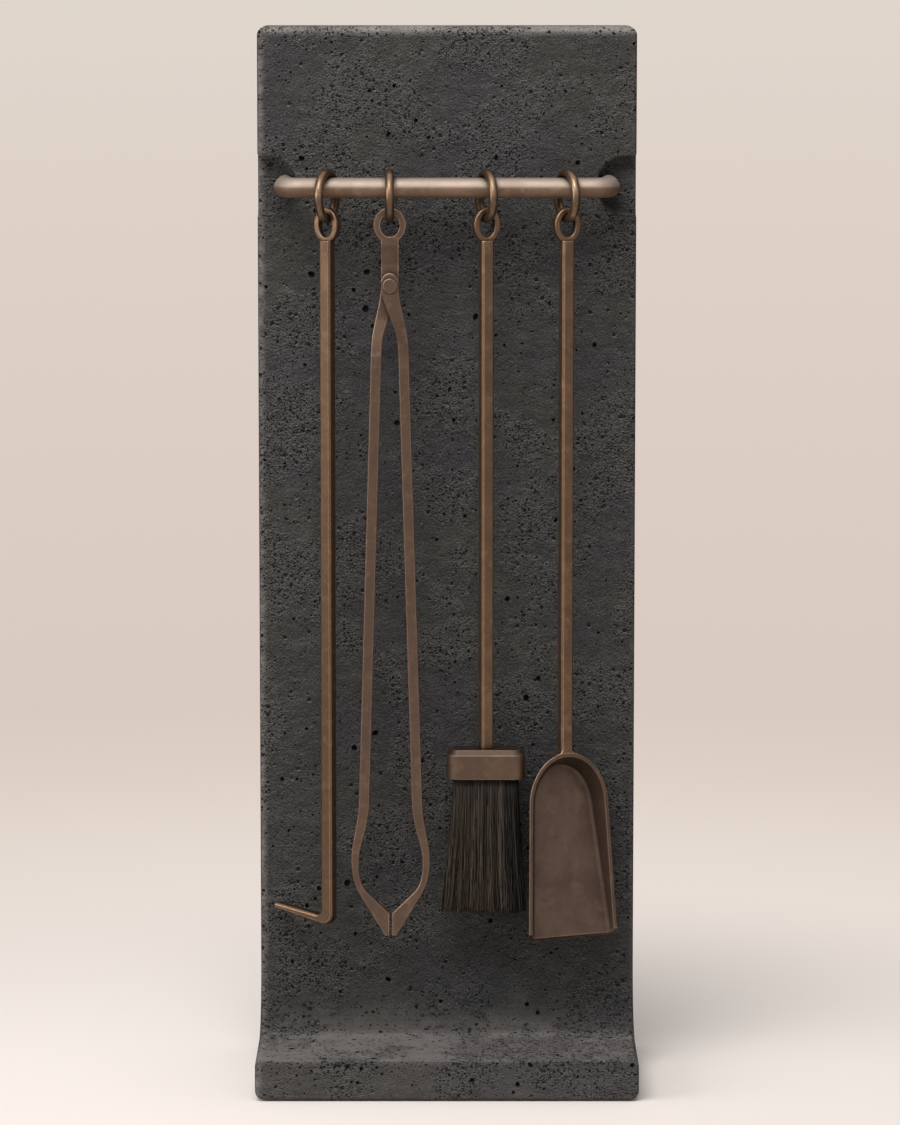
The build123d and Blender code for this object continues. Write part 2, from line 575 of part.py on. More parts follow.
with BuildPart() as brush_ferrule:
    with BuildSketch(level_plane(BRUSH_X, BRUSH_HEAD_YAW, FERRULE_BOTTOM_Z)):
        RectangleRounded(FERRULE_WIDTH, FERRULE_DEPTH, FERRULE_CORNER)
    extrude(amount=FERRULE_HEIGHT)
    chamfer(brush_ferrule.faces().sort_by(Axis.Z)[-1].edges(), FERRULE_CHAMFER)
    offset(amount=-FERRULE_WALL, openings=brush_ferrule.faces().sort_by(Axis.Z)[0])
    with BuildSketch(level_plane(BRUSH_X, BRUSH_HEAD_YAW, FERRULE_TOP_Z)):
        Circle(SPIGOT_DIAMETER / 2 + SPIGOT_CLEARANCE)
    extrude(amount=-2 * FERRULE_WALL, mode=Mode.SUBTRACT)
    shoulder_z = FERRULE_TOP_Z - FERRULE_CHAMFER
    shoulder = brush_ferrule.edges().filter_by(lambda e: abs(e.center().Z - shoulder_z) < SAME)
    mouth = brush_ferrule.faces().sort_by(Axis.Z)[0].outer_wire().edges()
    fillet(shoulder + mouth, FERRULE_EDGE_EASE)
save(brush_ferrule, "brush_ferrule")

block_top_z = FERRULE_TOP_Z - FERRULE_WALL
block_inset = FERRULE_WALL + BLOCK_CLEARANCE
with BuildPart() as brush_block:
    with BuildSketch(level_plane(BRUSH_X, BRUSH_HEAD_YAW, block_top_z)):
        RectangleRounded(
            FERRULE_WIDTH - 2 * block_inset,
            FERRULE_DEPTH - 2 * block_inset,
            FERRULE_CORNER - block_inset,
        )
    extrude(amount=-BLOCK_HEIGHT)
    chamfer(brush_block.faces().sort_by(Axis.Z)[-1].edges(), BLOCK_CHAMFER)
    with BuildSketch(level_plane(BRUSH_X, BRUSH_HEAD_YAW, block_top_z)):
        Circle(HEAD_NUT_POCKET / 2)
    extrude(amount=-HEAD_NUT_HEIGHT, mode=Mode.SUBTRACT)
    with BuildSketch(level_plane(BRUSH_X, BRUSH_HEAD_YAW, block_top_z)):
        Circle(SPIGOT_DIAMETER / 2 + SPIGOT_CLEARANCE)
    extrude(amount=-SPIGOT_LENGTH, mode=Mode.SUBTRACT)
save(brush_block, "brush_block")

with BuildPart() as brush_nut:
    with BuildSketch(level_plane(BRUSH_X, BRUSH_HEAD_YAW, block_top_z)):
        RegularPolygon(HEAD_NUT_ACROSS_FLATS / 2, 6, major_radius=False)
        Circle(SPIGOT_DIAMETER / 2 + NUT_BORE_CLEARANCE, mode=Mode.SUBTRACT)
    extrude(amount=-HEAD_NUT_HEIGHT)
save(brush_nut, "brush_nut")

# the bristles as one soft body, from the block to their tips
with BuildPart() as brush_bristles:
    with BuildSketch(level_plane(BRUSH_X, BRUSH_HEAD_YAW, block_top_z - BLOCK_HEIGHT)):
        RectangleRounded(BRISTLE_TOP_WIDTH, BRISTLE_TOP_DEPTH, BRISTLE_CORNER)
    with BuildSketch(level_plane(BRUSH_X, BRUSH_HEAD_YAW, FERRULE_BOTTOM_Z - BRISTLE_LENGTH)):
        RectangleRounded(BRISTLE_END_WIDTH, BRISTLE_END_DEPTH, BRISTLE_CORNER)
    loft()
save(brush_bristles, "brush_bristles")

# ---- shovel ------------------------------------------------------------------------------------
save(make_eye(SHOVEL_X, SHOVEL_YAW), "shovel_eye")

shovel_turn = radians(SHOVEL_YAW)
tilt = radians(PAN_TILT)
rim_plane = Plane(
    origin=face_plane(SHOVEL_X, SHOVEL_YAW, BAR_DEPTH / 2).origin + Vector(0, 0, PAN_TOP_Z),
    x_dir=(cos(shovel_turn), sin(shovel_turn), 0),
    z_dir=(sin(shovel_turn) * cos(tilt), -cos(shovel_turn) * cos(tilt), sin(tilt)),
)


def side_arc_point(inset, turn, side):
    """Point of the arc beside the crown, `turn` round from the middle of the arch. side is 1 or -1."""
    radius = PAN_SIDE_RADIUS - inset
    across = radius * sin(turn) - pan_radius_step * sin(pan_crown)
    return (side * across, radius * cos(turn) - pan_radius_step * cos(pan_crown) - PAN_CROWN_RADIUS)


def rim_outline(inset):
    """Pan outline in the plane of its rim: a crown, a wider arc each side, and flared sides past the lip."""
    spring_turn = radians(90) - pan_flare
    turns = (spring_turn, (spring_turn + pan_crown) / 2, pan_crown)
    left = [side_arc_point(inset, turn, -1) for turn in turns]
    right = [side_arc_point(inset, turn, 1) for turn in turns]
    run = PAN_LENGTH + PAN_OVERRUN
    foot = right[0][0] + (run + right[0][1]) * tan(pan_flare)
    ThreePointArc(*left)
    ThreePointArc(left[2], (0, -inset), right[2])
    ThreePointArc(*reversed(right))
    Polyline(right[0], (foot, -run), (-foot, -run), left[0])


def pan_solid(inset, floor_lift):
    """Drafted body behind the rim, cut off at the floor: the pan's outside, or the space inside it."""
    fall = (PAN_HEEL_DEPTH - PAN_LIP_DEPTH) / PAN_LENGTH
    with BuildPart() as body:
        with BuildSketch(rim_plane):
            with BuildLine():
                rim_outline(inset)
            make_face()
        extrude(amount=-PAN_HEEL_DEPTH - PAN_FLOOR_RADIUS, taper=PAN_DRAFT)
        floor = Plane(
            origin=rim_plane.from_local_coords((0, 0, floor_lift - PAN_HEEL_DEPTH)),
            x_dir=rim_plane.x_dir,
            z_dir=rim_plane.z_dir + rim_plane.y_dir * fall,
        )
        split(bisect_by=floor, keep=Keep.TOP)
        mid_floor = floor.from_local_coords((0, -PAN_LENGTH / 2, 0))
        floor_edges = body.faces().sort_by_distance(mid_floor)[0].edges().sort_by(Axis.Z)
        fillet(floor_edges[1:], PAN_FLOOR_RADIUS - floor_lift / 2)
    return body


pan_outside = pan_solid(0, 0)
pan_inside = pan_solid(PAN_WALL / cos(radians(PAN_DRAFT)), PAN_WALL)
pan_mid_wall = pan_solid(PAN_WALL / 2 / cos(radians(PAN_DRAFT)), PAN_WALL / 2)
lip_slope = PAN_LIP_OVERHANG / PAN_LIP_DEPTH
lip_plane = Plane(
    origin=rim_plane.from_local_coords((0, -PAN_LENGTH + PAN_LIP_OVERHANG, 0)),
    x_dir=rim_plane.x_dir,
    z_dir=rim_plane.y_dir - rim_plane.z_dir * lip_slope,
)
with BuildPart() as shovel_pan:
    add(pan_outside.part)
    add(pan_inside.part, mode=Mode.SUBTRACT)
    split(bisect_by=lip_plane, keep=Keep.TOP)
    rim_edges = shovel_pan.edges().filter_by(lambda e: abs(rim_plane.to_local_coords(e.center()).Z) < SAME)
    fillet(rim_edges.filter_by(lambda e: e.length > 2 * PAN_WALL), PAN_EDGE_EASE)
save(shovel_pan, "shovel_pan")

# the bar spreads to a toe that is coped to the outside of the pan's heel and welded there
with BuildPart() as shovel_rod:
    add(make_bar(SHOVEL_X, SHOVEL_YAW, PAN_TOP_Z - BAR_DEPTH).part)
    with BuildSketch(face_plane(SHOVEL_X, SHOVEL_YAW, BAR_DEPTH / 2)) as toe:
        with Locations((0, PAN_TOP_Z - PAN_CROWN_RADIUS)):
            Circle(PAN_CROWN_RADIUS)
        with Locations((0, PAN_TOP_Z)):
            Rectangle(BAR_WIDTH - 2 * BAR_BEVEL, 4 * TOE_RADIUS)
        meets = toe.vertices().filter_by(lambda v: abs(v.Y - PAN_TOP_Z) < TOE_RADIUS / 2)
        fillet(meets, TOE_RADIUS)
        with Locations((0, PAN_TOP_Z)):
            Rectangle(4 * TOE_RADIUS, 2 * TOE_RADIUS, mode=Mode.INTERSECT)
    extrude(amount=-BAR_DEPTH)
    add(shovel_pan.part, mode=Mode.SUBTRACT)
    add(pan_mid_wall.part, mode=Mode.SUBTRACT)
save(shovel_rod, "shovel_rod")
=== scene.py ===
"""Looks of a fireplace tool set: a cast stone stand, a bronzed rail and four tools on closed rings.

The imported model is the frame. The metal pieces keep their own solids and get their finishes here. The
stone gets a casting with real pores, and the brush gets its bristles one by one. Metres, +Z up, front
towards -Y.
"""
import logging
import math
from dataclasses import dataclass, field
from enum import Enum
from functools import partial, reduce

import bmesh
import bpy
import numpy as np
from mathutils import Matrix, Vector


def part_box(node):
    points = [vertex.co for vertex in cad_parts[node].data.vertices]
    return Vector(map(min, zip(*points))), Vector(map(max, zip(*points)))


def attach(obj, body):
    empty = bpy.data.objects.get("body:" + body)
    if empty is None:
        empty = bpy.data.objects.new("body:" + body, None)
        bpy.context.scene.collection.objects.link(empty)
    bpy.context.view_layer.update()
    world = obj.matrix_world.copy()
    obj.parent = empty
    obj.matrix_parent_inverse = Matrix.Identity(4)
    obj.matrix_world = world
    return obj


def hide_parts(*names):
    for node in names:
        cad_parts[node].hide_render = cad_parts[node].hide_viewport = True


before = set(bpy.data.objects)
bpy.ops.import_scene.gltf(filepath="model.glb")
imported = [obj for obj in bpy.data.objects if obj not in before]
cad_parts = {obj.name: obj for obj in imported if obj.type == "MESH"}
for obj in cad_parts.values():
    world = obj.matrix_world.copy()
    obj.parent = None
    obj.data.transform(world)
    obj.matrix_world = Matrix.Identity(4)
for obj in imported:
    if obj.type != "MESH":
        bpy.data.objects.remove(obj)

LOG = logging.getLogger("fireplace_tool_set")
NODES: dict[str, bpy.types.Object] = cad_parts
GOLDEN = 0.6180339887  # multiples of it, less their whole part, spread evenly over 0 to 1
Colour = tuple[float, float, float]
Point = tuple[float, float, float]
Socket = bpy.types.NodeSocket
Pair = tuple[float, float]
Array = np.ndarray


def srgb(red: int, green: int, blue: int) -> Colour:
    """Turns a display colour of 0 to 255 into the linear colour that the shaders take.

    The sRGB curve: c / 12.92 up to 0.04045, and ((c + 0.055) / 1.055) ** 2.4 above it.

    Args:
        red, green, blue: the display colour.

    Returns:
        The linear colour.
    """
    share = np.array([red, green, blue]) / 255.0
    linear = np.where(share <= 0.04045, share / 12.92, ((share + 0.055) / 1.055) ** 2.4)
    return tuple(float(v) for v in linear)


# ---- shader building
@dataclass(frozen=True)
class Band:
    """A tone laid over a colour: none of it where a value is at start, and a share of it past full."""

    start: float
    full: float
    share: float


class Shader:
    """The node tree of a material or of the world, put together one node at a time."""

    def __init__(self, owner: bpy.types.Material | bpy.types.World, output: str) -> None:
        """Starts an empty tree.

        Args:
            owner: what the tree belongs to.
            output: the type of its output node, without its ShaderNode prefix.
        """
        self.owner = owner
        owner.use_nodes = True
        self.tree = owner.node_tree
        self.tree.nodes.clear()
        self.output = self.add(output)

    @classmethod
    def for_material(cls, name: str) -> "Shader":
        """Starts a material of the given name."""
        return cls(bpy.data.materials.new(name), "OutputMaterial")

    def add(self, kind: str, settings: dict | None = None, **inputs: object) -> bpy.types.Node:
        """Adds a node.

        Args:
            kind: the node type, without its ShaderNode prefix.
            settings: attributes of the node itself.
            inputs: input sockets by name, with _ for a space, or by number, as i0; each is a value or
                another node's output.

        Returns:
            The new node.
        """
        node = self.tree.nodes.new("ShaderNode" + kind)
        for key, value in (settings or {}).items():
            setattr(node, key, value)
        for key, value in inputs.items():
            by_number = key[0] == "i" and key[1:].isdigit()
            socket = node.inputs[int(key[1:]) if by_number else key.replace("_", " ")]
            if isinstance(value, bpy.types.NodeSocket):
                self.tree.links.new(value, socket)
            else:
                socket.default_value = value
        return node

    def place(self) -> Socket:
        """Returns the piece's own coordinates, in metres."""
        return self.add("TexCoord").outputs["Object"]

    def parts(self, vector: Socket) -> bpy.types.NodeOutputs:
        """Returns the x, y and z of a vector."""
        return self.add("SeparateXYZ", Vector=vector).outputs

    def noise(self, place: Socket, scale: float, detail: float, rough: float = 0.5) -> Socket:
        """Returns a noise of scale cells per metre, with detail octaves, each rough times the last."""
        node = self.add("TexNoise", Vector=place, Scale=scale, Detail=detail, Roughness=rough)
        return node.outputs["Fac"]

    def cells(self, place: Socket, scale: float) -> tuple[Socket, bpy.types.NodeOutputs]:
        """Returns the distance to a cell's middle, and its three random values; scale is per metre."""
        cells = self.add("TexVoronoi", Vector=place, Scale=scale).outputs
        return cells["Distance"], self.add("SeparateColor", Color=cells["Color"]).outputs

    def ramp(
        self, value: Socket, low: float, high: float, to_low: float = 0.0, to_high: float = 1.0,
        how: str = "SMOOTHSTEP",
    ) -> Socket:
        """Returns value mapped from low..high to to_low..to_high, clamped. Low may be the larger."""
        node = self.add(
            "MapRange", {"interpolation_type": how},
            Value=value, From_Min=low, From_Max=high, To_Min=to_low, To_Max=to_high,
        )
        return node.outputs["Result"]

    def veil(self, value: Socket, band: Band) -> Socket:
        """Returns how much of a band's tone shows at a value."""
        return self.ramp(value, band.start, band.full, 0.0, band.share)

    def math(self, how: str, first: Socket | float, second: Socket | float = 0.0) -> Socket:
        """Returns the result of one operation on first and second."""
        return self.add("Math", {"operation": how}, i0=first, i1=second).outputs[0]

    def mix(self, factor: Socket | float, first: object, second: object) -> Socket:
        """Mixes two colours.

        Args:
            factor: how much of the second shows.
            first, second: linear colours, or colour outputs.

        Returns:
            The mixed colour.
        """
        node = self.add("Mix", {"data_type": "RGBA"}, i0=factor)
        for slot, value in ((6, first), (7, second)):
            if isinstance(value, bpy.types.NodeSocket):
                self.tree.links.new(value, node.inputs[slot])
            else:
                node.inputs[slot].default_value = (*value, 1.0)
        return node.outputs[2]

    def bump(
        self, height: Socket, depth: float, strength: float = 1.0, under: Socket | None = None,
    ) -> Socket:
        """Adds a bump.

        Args:
            height: the relief, 0 to 1.
            depth: what 1 stands for, in metres.
            strength: how much of it shows.
            under: the bump below this one.

        Returns:
            The normal.
        """
        node = self.add("Bump", Height=height, Distance=depth, Strength=strength)
        if under is not None:
            self.tree.links.new(under, node.inputs["Normal"])
        return node.outputs["Normal"]

    def end(self, surface: Socket) -> bpy.types.Material | bpy.types.World:
        """Links the surface to the output, and returns what the tree belongs to."""
        self.tree.links.new(surface, self.output.inputs["Surface"])
        return self.owner

    def finish(self, **inputs: object) -> bpy.types.Material:
        """Ends the tree in one Principled shader with the given inputs."""
        return self.end(self.add("BsdfPrincipled", **inputs).outputs["BSDF"])


# ---- finishes
@dataclass(frozen=True)
class FinePore:
    """One size of pore that is only shaded: each cell of a pattern has one or none, by chance."""

    scale: float  # cells per metre
    least: float  # the smallest radius, as a share of a cell
    most: float  # and the largest
    few: float  # the share of cells with a pore in smooth patches
    many: float  # and in rough ones


@dataclass(frozen=True)
class CastStone:
    """Dark cast stone: smooth and faintly patchy in places, rough and finely pitted in others."""

    name: str = "porous_stone"
    inside_pore: bool = False
    warm: Colour = srgb(49, 49, 46)
    cool: Colour = srgb(45, 45, 49)
    dark: Colour = srgb(11, 11, 11)
    light: Colour = srgb(116, 113, 111)
    # a pale tone for dust, and for painted top light and painted highlights on the arrises
    dust_and_light: Colour = srgb(148, 142, 139)
    # patterns, in cells per metre
    rough_scale: float = 17.0  # rough and smooth patches
    tint_scale: float = 12.0  # warm and cool patches
    mottle_scale: float = 60.0
    grain_scale: float = 640.0
    grit_scale: float = 1100.0
    chip_scale: float = 150.0  # gaps in the painted highlight on the side arrises
    # tones over the two tints, by the height of each pattern
    mottle_dark: Band = Band(0.62, 0.36, 0.18)
    mottle_light: Band = Band(0.52, 0.7, 0.08)
    grain_dark: Band = Band(0.5, 0.3, 0.42)
    grain_light: Band = Band(0.52, 0.7, 0.2)
    grit_dark: Band = Band(0.3, 0.0, 0.34)
    grit_light: Band = Band(0.84, 1.0, 0.3)
    # painted highlight and painted shade on the relief, by how far it tilts the skin up or down
    relief_highlight: Band = Band(0.04, 0.6, 0.9)
    relief_shade: Band = Band(-0.04, -0.6, 0.8)
    # dust with painted top light by the normal's z, painted highlights by the distance from a side or
    # from the top, and a paler tone by the distance from the floor
    dust_and_top_light: tuple[Band, ...] = (Band(0.55, 1.0, 0.16), Band(0.93, 1.0, 0.44))
    arris_highlight_left: Band = Band(0.0075, 0.002, 0.46)
    arris_highlight_right: Band = Band(0.0045, 0.0015, 0.12)
    top_arris_highlight: tuple[Band, ...] = (Band(0.0085, 0.004, 0.42), Band(0.005, 0.0025, 0.8))
    pale_near_floor: Band = Band(0.045, 0.03, 0.1)
    # relief, in metres
    grit_depth: float = 0.0003
    grain_depth: float = 0.0015
    mottle_depth: float = 0.0030
    pore_depth: float = 0.0012
    inner_depth: float = 0.0006  # of the grain inside a real pore
    pores: tuple[FinePore, ...] = (
        FinePore(640.0, 0.26, 0.44, 0.05, 0.44), FinePore(380.0, 0.24, 0.42, 0.03, 0.3),
        FinePore(210.0, 0.18, 0.36, 0.025, 0.17),
    )
    bend: float = 0.0016  # how far a fine pore's outline strays from a circle
    bend_scale: float = 700.0  # and how often, per metre
    pore_shade: float = 0.94  # painted shade in a fine pore: how dark it is
    inner_shade: float = 0.75  # painted shade on the inside of a real pore: how dark it is

    def material(self) -> bpy.types.Material:
        """Makes the stone: two tints, dust with painted top light, painted highlights on the arrises,
        mottle, grain and grit, painted highlight and shade on the relief, and fine pores with painted
        shade that crowd together.

        Returns:
            The material.
        """
        s = Shader.for_material(self.name)
        place = s.place()
        rough_patch = s.ramp(s.noise(place, self.rough_scale, 4, 0.6), 0.42, 0.6)
        tint = s.ramp(s.noise(place, self.tint_scale, 3), 0.4, 0.6)
        mottle = s.noise(place, self.mottle_scale, 6, 0.65)
        grain = s.noise(place, self.grain_scale, 3, 0.65)
        grit = s.cells(place, self.grit_scale)[1][0]
        tooth = s.ramp(rough_patch, 0.0, 1.0, 0.4, 1.0)
        skin = s.parts(s.add("NewGeometry").outputs["Normal"])
        colour = self._dust_and_painted_light(s, place, skin, s.mix(tint, self.warm, self.cool))
        colour = s.mix(s.veil(mottle, self.mottle_dark), colour, self.dark)
        colour = s.mix(s.veil(mottle, self.mottle_light), colour, self.light)
        for value, band, tone in (
            (grain, self.grain_dark, self.dark), (grain, self.grain_light, self.light),
            (grit, self.grit_dark, self.dark), (grit, self.grit_light, self.light),
        ):
            colour = s.mix(s.math("MULTIPLY", tooth, s.veil(value, band)), colour, tone)
        if self.inside_pore:
            # painted shade over the whole inside of a real pore
            colour = s.mix(self.inner_shade, colour, self.dark)
            normal = s.bump(grain, self.inner_depth, 0.6)
            return s.finish(Base_Color=colour, Roughness=0.95, Specular_IOR_Level=0.1, Normal=normal)
        inside, rim = self._pores(s, place, rough_patch)
        normal = s.bump(grit, self.grit_depth, 0.5)
        normal = s.bump(s.math("MULTIPLY", grain, tooth), self.grain_depth, 1.0, normal)
        normal = s.bump(mottle, self.mottle_depth, 0.6, normal)
        normal = s.bump(s.math("SUBTRACT", 1.0, rim), self.pore_depth, 1.0, normal)
        # painted highlight where the relief tilts the skin up, painted shade where it tilts it down
        tilt = s.math("SUBTRACT", s.parts(normal)[2], skin[2])
        colour = s.mix(s.veil(tilt, self.relief_highlight), colour, self.light)
        colour = s.mix(s.veil(tilt, self.relief_shade), colour, self.dark)
        # painted shade inside the fine pores
        colour = s.mix(s.math("MULTIPLY", inside, self.pore_shade), colour, self.dark)
        return s.finish(Base_Color=colour, Roughness=0.88, Specular_IOR_Level=0.2, Normal=normal)

    def _dust_and_painted_light(self, s: Shader, place: Socket, skin: bpy.types.NodeOutputs, colour: Socket) -> Socket:
        """Lays dust with a painted top light on what faces up, painted highlights on the side and top
        arrises, and a paler tone low on the foot.

        The painted highlight of the side arrises is broken here and there, and ends where the skin
        faces sideways.

        Args:
            s: the shader that is being built.
            place: the stone's own coordinates.
            skin: x, y and z of its normal.
            colour: what is under the dust.

        Returns:
            The colour with its dust, painted highlights and pale tone.
        """
        half, _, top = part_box("stand_slab")[1]
        across, _, height = s.parts(place)
        # dust with a painted top light on what faces up
        for band in self.dust_and_top_light:
            colour = s.mix(s.veil(skin[2], band), colour, self.dust_and_light)
        # painted highlight along the side arrises, stronger on the left, broken by noise and gone where
        # the skin faces sideways
        broken = s.ramp(s.noise(place, self.chip_scale, 4, 0.6), 0.34, 0.6, 0.3, 1.0)
        forward = s.math("MULTIPLY", s.ramp(s.math("ABSOLUTE", skin[0]), 0.93, 0.6), broken)
        for side, band in ((-1, self.arris_highlight_left), (1, self.arris_highlight_right)):
            start, full = side * (half - band.start), side * (half - band.full)
            share = s.ramp(across, start, full, 0.0, band.share)
            colour = s.mix(s.math("MULTIPLY", forward, share), colour, self.dust_and_light)
        # painted highlight along the top arris
        for band in self.top_arris_highlight:
            share = s.ramp(height, top - band.start, top - band.full, 0.0, band.share)
            colour = s.mix(share, colour, self.dust_and_light)
        # paler within a few centimetres of the floor
        return s.mix(s.veil(height, self.pale_near_floor), colour, self.dust_and_light)

    def _pores(self, s: Shader, place: Socket, crowd: Socket) -> tuple[Socket, Socket]:
        """Adds the fine pores: a cell has one by chance, more often in a crowd, round its middle.

        A point is inside where its distance from the middle is less than radius - 30 * missing, where
        missing is how far the cell's chance lies above the share of cells that have a pore.

        Args:
            s: the shader that is being built.
            place: where it is read.
            crowd: 1 where the pores crowd together and 0 where they are few.

        Returns:
            1 in a pore's inside, which takes painted shade, and 1 from its rim inwards, for the relief.
        """
        wander = s.add("TexNoise", Vector=place, Scale=self.bend_scale, Detail=2.0).outputs["Color"]
        add = {"operation": "MULTIPLY_ADD"}
        bent = s.add("VectorMath", add, i0=wander, i1=(self.bend,) * 3, i2=place).outputs[0]
        insides, rims = [], []
        for size in self.pores:
            distance, chance = s.cells(bent, size.scale)
            radius = s.ramp(chance[1], 0.0, 1.0, size.least, size.most)
            share = s.ramp(crowd, 0.0, 1.0, size.few, size.many)
            missing = s.math("MAXIMUM", s.math("SUBTRACT", chance[0], share), 0.0)
            kept = s.math("SUBTRACT", radius, s.math("MULTIPLY", missing, 30.0))
            reach = s.math("SUBTRACT", kept, distance)
            insides.append(s.ramp(reach, 0.0, 0.05))
            rims.append(s.ramp(reach, -0.14, 0.04))
        largest = partial(s.math, "MAXIMUM")
        return reduce(largest, insides), reduce(largest, rims)


@dataclass(frozen=True)
class Bronze:
    """Steel with a bronze patina: mottled, with a fine tooth, rubbed edges with a painted highlight and
    painted shade in creases.
    """

    name: str
    base: Colour
    shade: Colour
    bright: Colour
    metallic: float = 0.92
    roughness: float = 0.4
    mottle_scale: float = 42.0  # cells per metre
    fleck_scale: float = 2.7  # the bright flecks' scale, against the mottle's
    tooth_scale: float = 420.0  # cells per metre
    edge: float = 0.0006  # how far the light rolls over an edge
    worn: float = 0.0012  # how far from an edge the rub and its painted highlight reach
    rubbed: float = 0.85  # how much of an edge is rubbed and given a painted highlight
    edge_highlight_gain: float = 2.4  # the painted highlight's tone on a rubbed edge, against bright
    crease: float = 0.85  # how much of a crease takes painted shade
    crease_shade_tone: float = 0.12  # the painted shade's tone in a crease, against shade
    shut_in: float = 0.006  # how near another surface must be for a crease's painted shade
    top: Colour | None = None  # a painted tone on what faces up: a painted highlight on the rail, painted shade on the ferrule
    turned: Pair = (0.1, 0.7)  # where that starts and is full, as the normal's z
    samples: int = 4  # rays for each edge and crease

    def material(self) -> bpy.types.Material:
        """Makes the patina: mottle and flecks, a painted tone on what faces up, rubbed edges with a
        painted highlight, painted shade in creases, uneven roughness.

        Returns:
            The material.
        """
        s = Shader.for_material(self.name)
        place = s.place()
        broad = s.noise(place, self.mottle_scale, 5, 0.6)
        flecks = s.noise(place, self.mottle_scale * self.fleck_scale, 4, 0.6)
        fine = s.noise(place, self.tooth_scale, 4, 0.6)
        colour = s.mix(s.ramp(broad, 0.36, 0.66), self.shade, self.base)
        colour = s.mix(s.ramp(flecks, 0.5, 0.72, 0.0, 0.55), colour, self.bright)
        colour = s.mix(s.ramp(fine, 0.28, 0.46, 0.35, 0.0), colour, self.shade)
        rays = {"samples": self.samples}
        rolled = s.add("Bevel", rays, Radius=self.edge).outputs["Normal"]
        # a painted tone on what faces up, by the rolled normal's z: lighter as a painted highlight,
        # darker as painted shade
        if self.top:
            colour = s.mix(s.ramp(s.parts(rolled)[2], *self.turned, 0.0, 0.85), colour, self.top)
        flat = s.add("NewGeometry").outputs["Normal"]
        wide = s.add("Bevel", rays, Radius=self.worn).outputs["Normal"]
        turn = s.add("VectorMath", {"operation": "DOT_PRODUCT"}, i0=wide, i1=flat).outputs["Value"]
        # rubbed edges: wear, made brighter with a painted highlight
        spared = s.ramp(fine, 0.3, 0.6, 0.6, 1.0)
        rub_and_highlight = s.math("MULTIPLY", s.ramp(turn, 0.86, 0.995, self.rubbed, 0.0), spared)
        colour = s.mix(rub_and_highlight, colour, tuple(min(1.0, v * self.edge_highlight_gain) for v in self.bright))
        # painted shade: ambient occlusion darkens creases and faces near other surfaces
        shut = s.add("AmbientOcclusion", rays, Distance=self.shut_in).outputs["AO"]
        crease = s.ramp(shut, 0.4, 0.92, self.crease, 0.0)
        colour = s.mix(crease, colour, tuple(v * self.crease_shade_tone for v in self.shade))
        rough = s.ramp(broad, 0.3, 0.7, self.roughness + 0.07, self.roughness - 0.05)
        normal = s.bump(fine, 0.00012, 0.55, s.bump(broad, 0.0006, 0.25, rolled))
        return s.finish(Base_Color=colour, Metallic=self.metallic, Roughness=rough, Normal=normal)


@dataclass(frozen=True)
class Plain:
    """A plain finish for what is hardly seen: rubber, zinc plate and wood."""

    name: str
    base: Colour
    shade: Colour
    metallic: float
    roughness: float
    grain_scale: float  # cells per metre

    def material(self) -> bpy.types.Material:
        """Makes the finish: the base with one mottle and a fine tooth.

        Returns:
            The material.
        """
        s = Shader.for_material(self.name)
        grain = s.noise(s.place(), self.grain_scale, 4, 0.6)
        colour = s.mix(s.ramp(grain, 0.35, 0.65), self.shade, self.base)
        normal = s.bump(grain, 0.0002, 0.4)
        shine = {"Metallic": self.metallic, "Roughness": self.roughness}
        return s.finish(Base_Color=colour, Normal=normal, **shine)


@dataclass(frozen=True)
class Fibre:
    """Dark natural bristle, each strand in a tone of its own."""

    name: str = "bristle_fibre"
    base: Colour = srgb(86, 75, 65)
    shade: Colour = srgb(12, 11, 10)

    def material(self) -> bpy.types.Material:
        """Makes the fibre, with its tone from the strands' attribute.

        Returns:
            The material.
        """
        s = Shader.for_material(self.name)
        tone = s.add("Attribute", {"attribute_name": "tone"}).outputs["Fac"]
        colour = s.mix(tone, self.shade, self.base)
        return s.finish(Base_Color=colour, Roughness=0.5, Specular_IOR_Level=0.2)


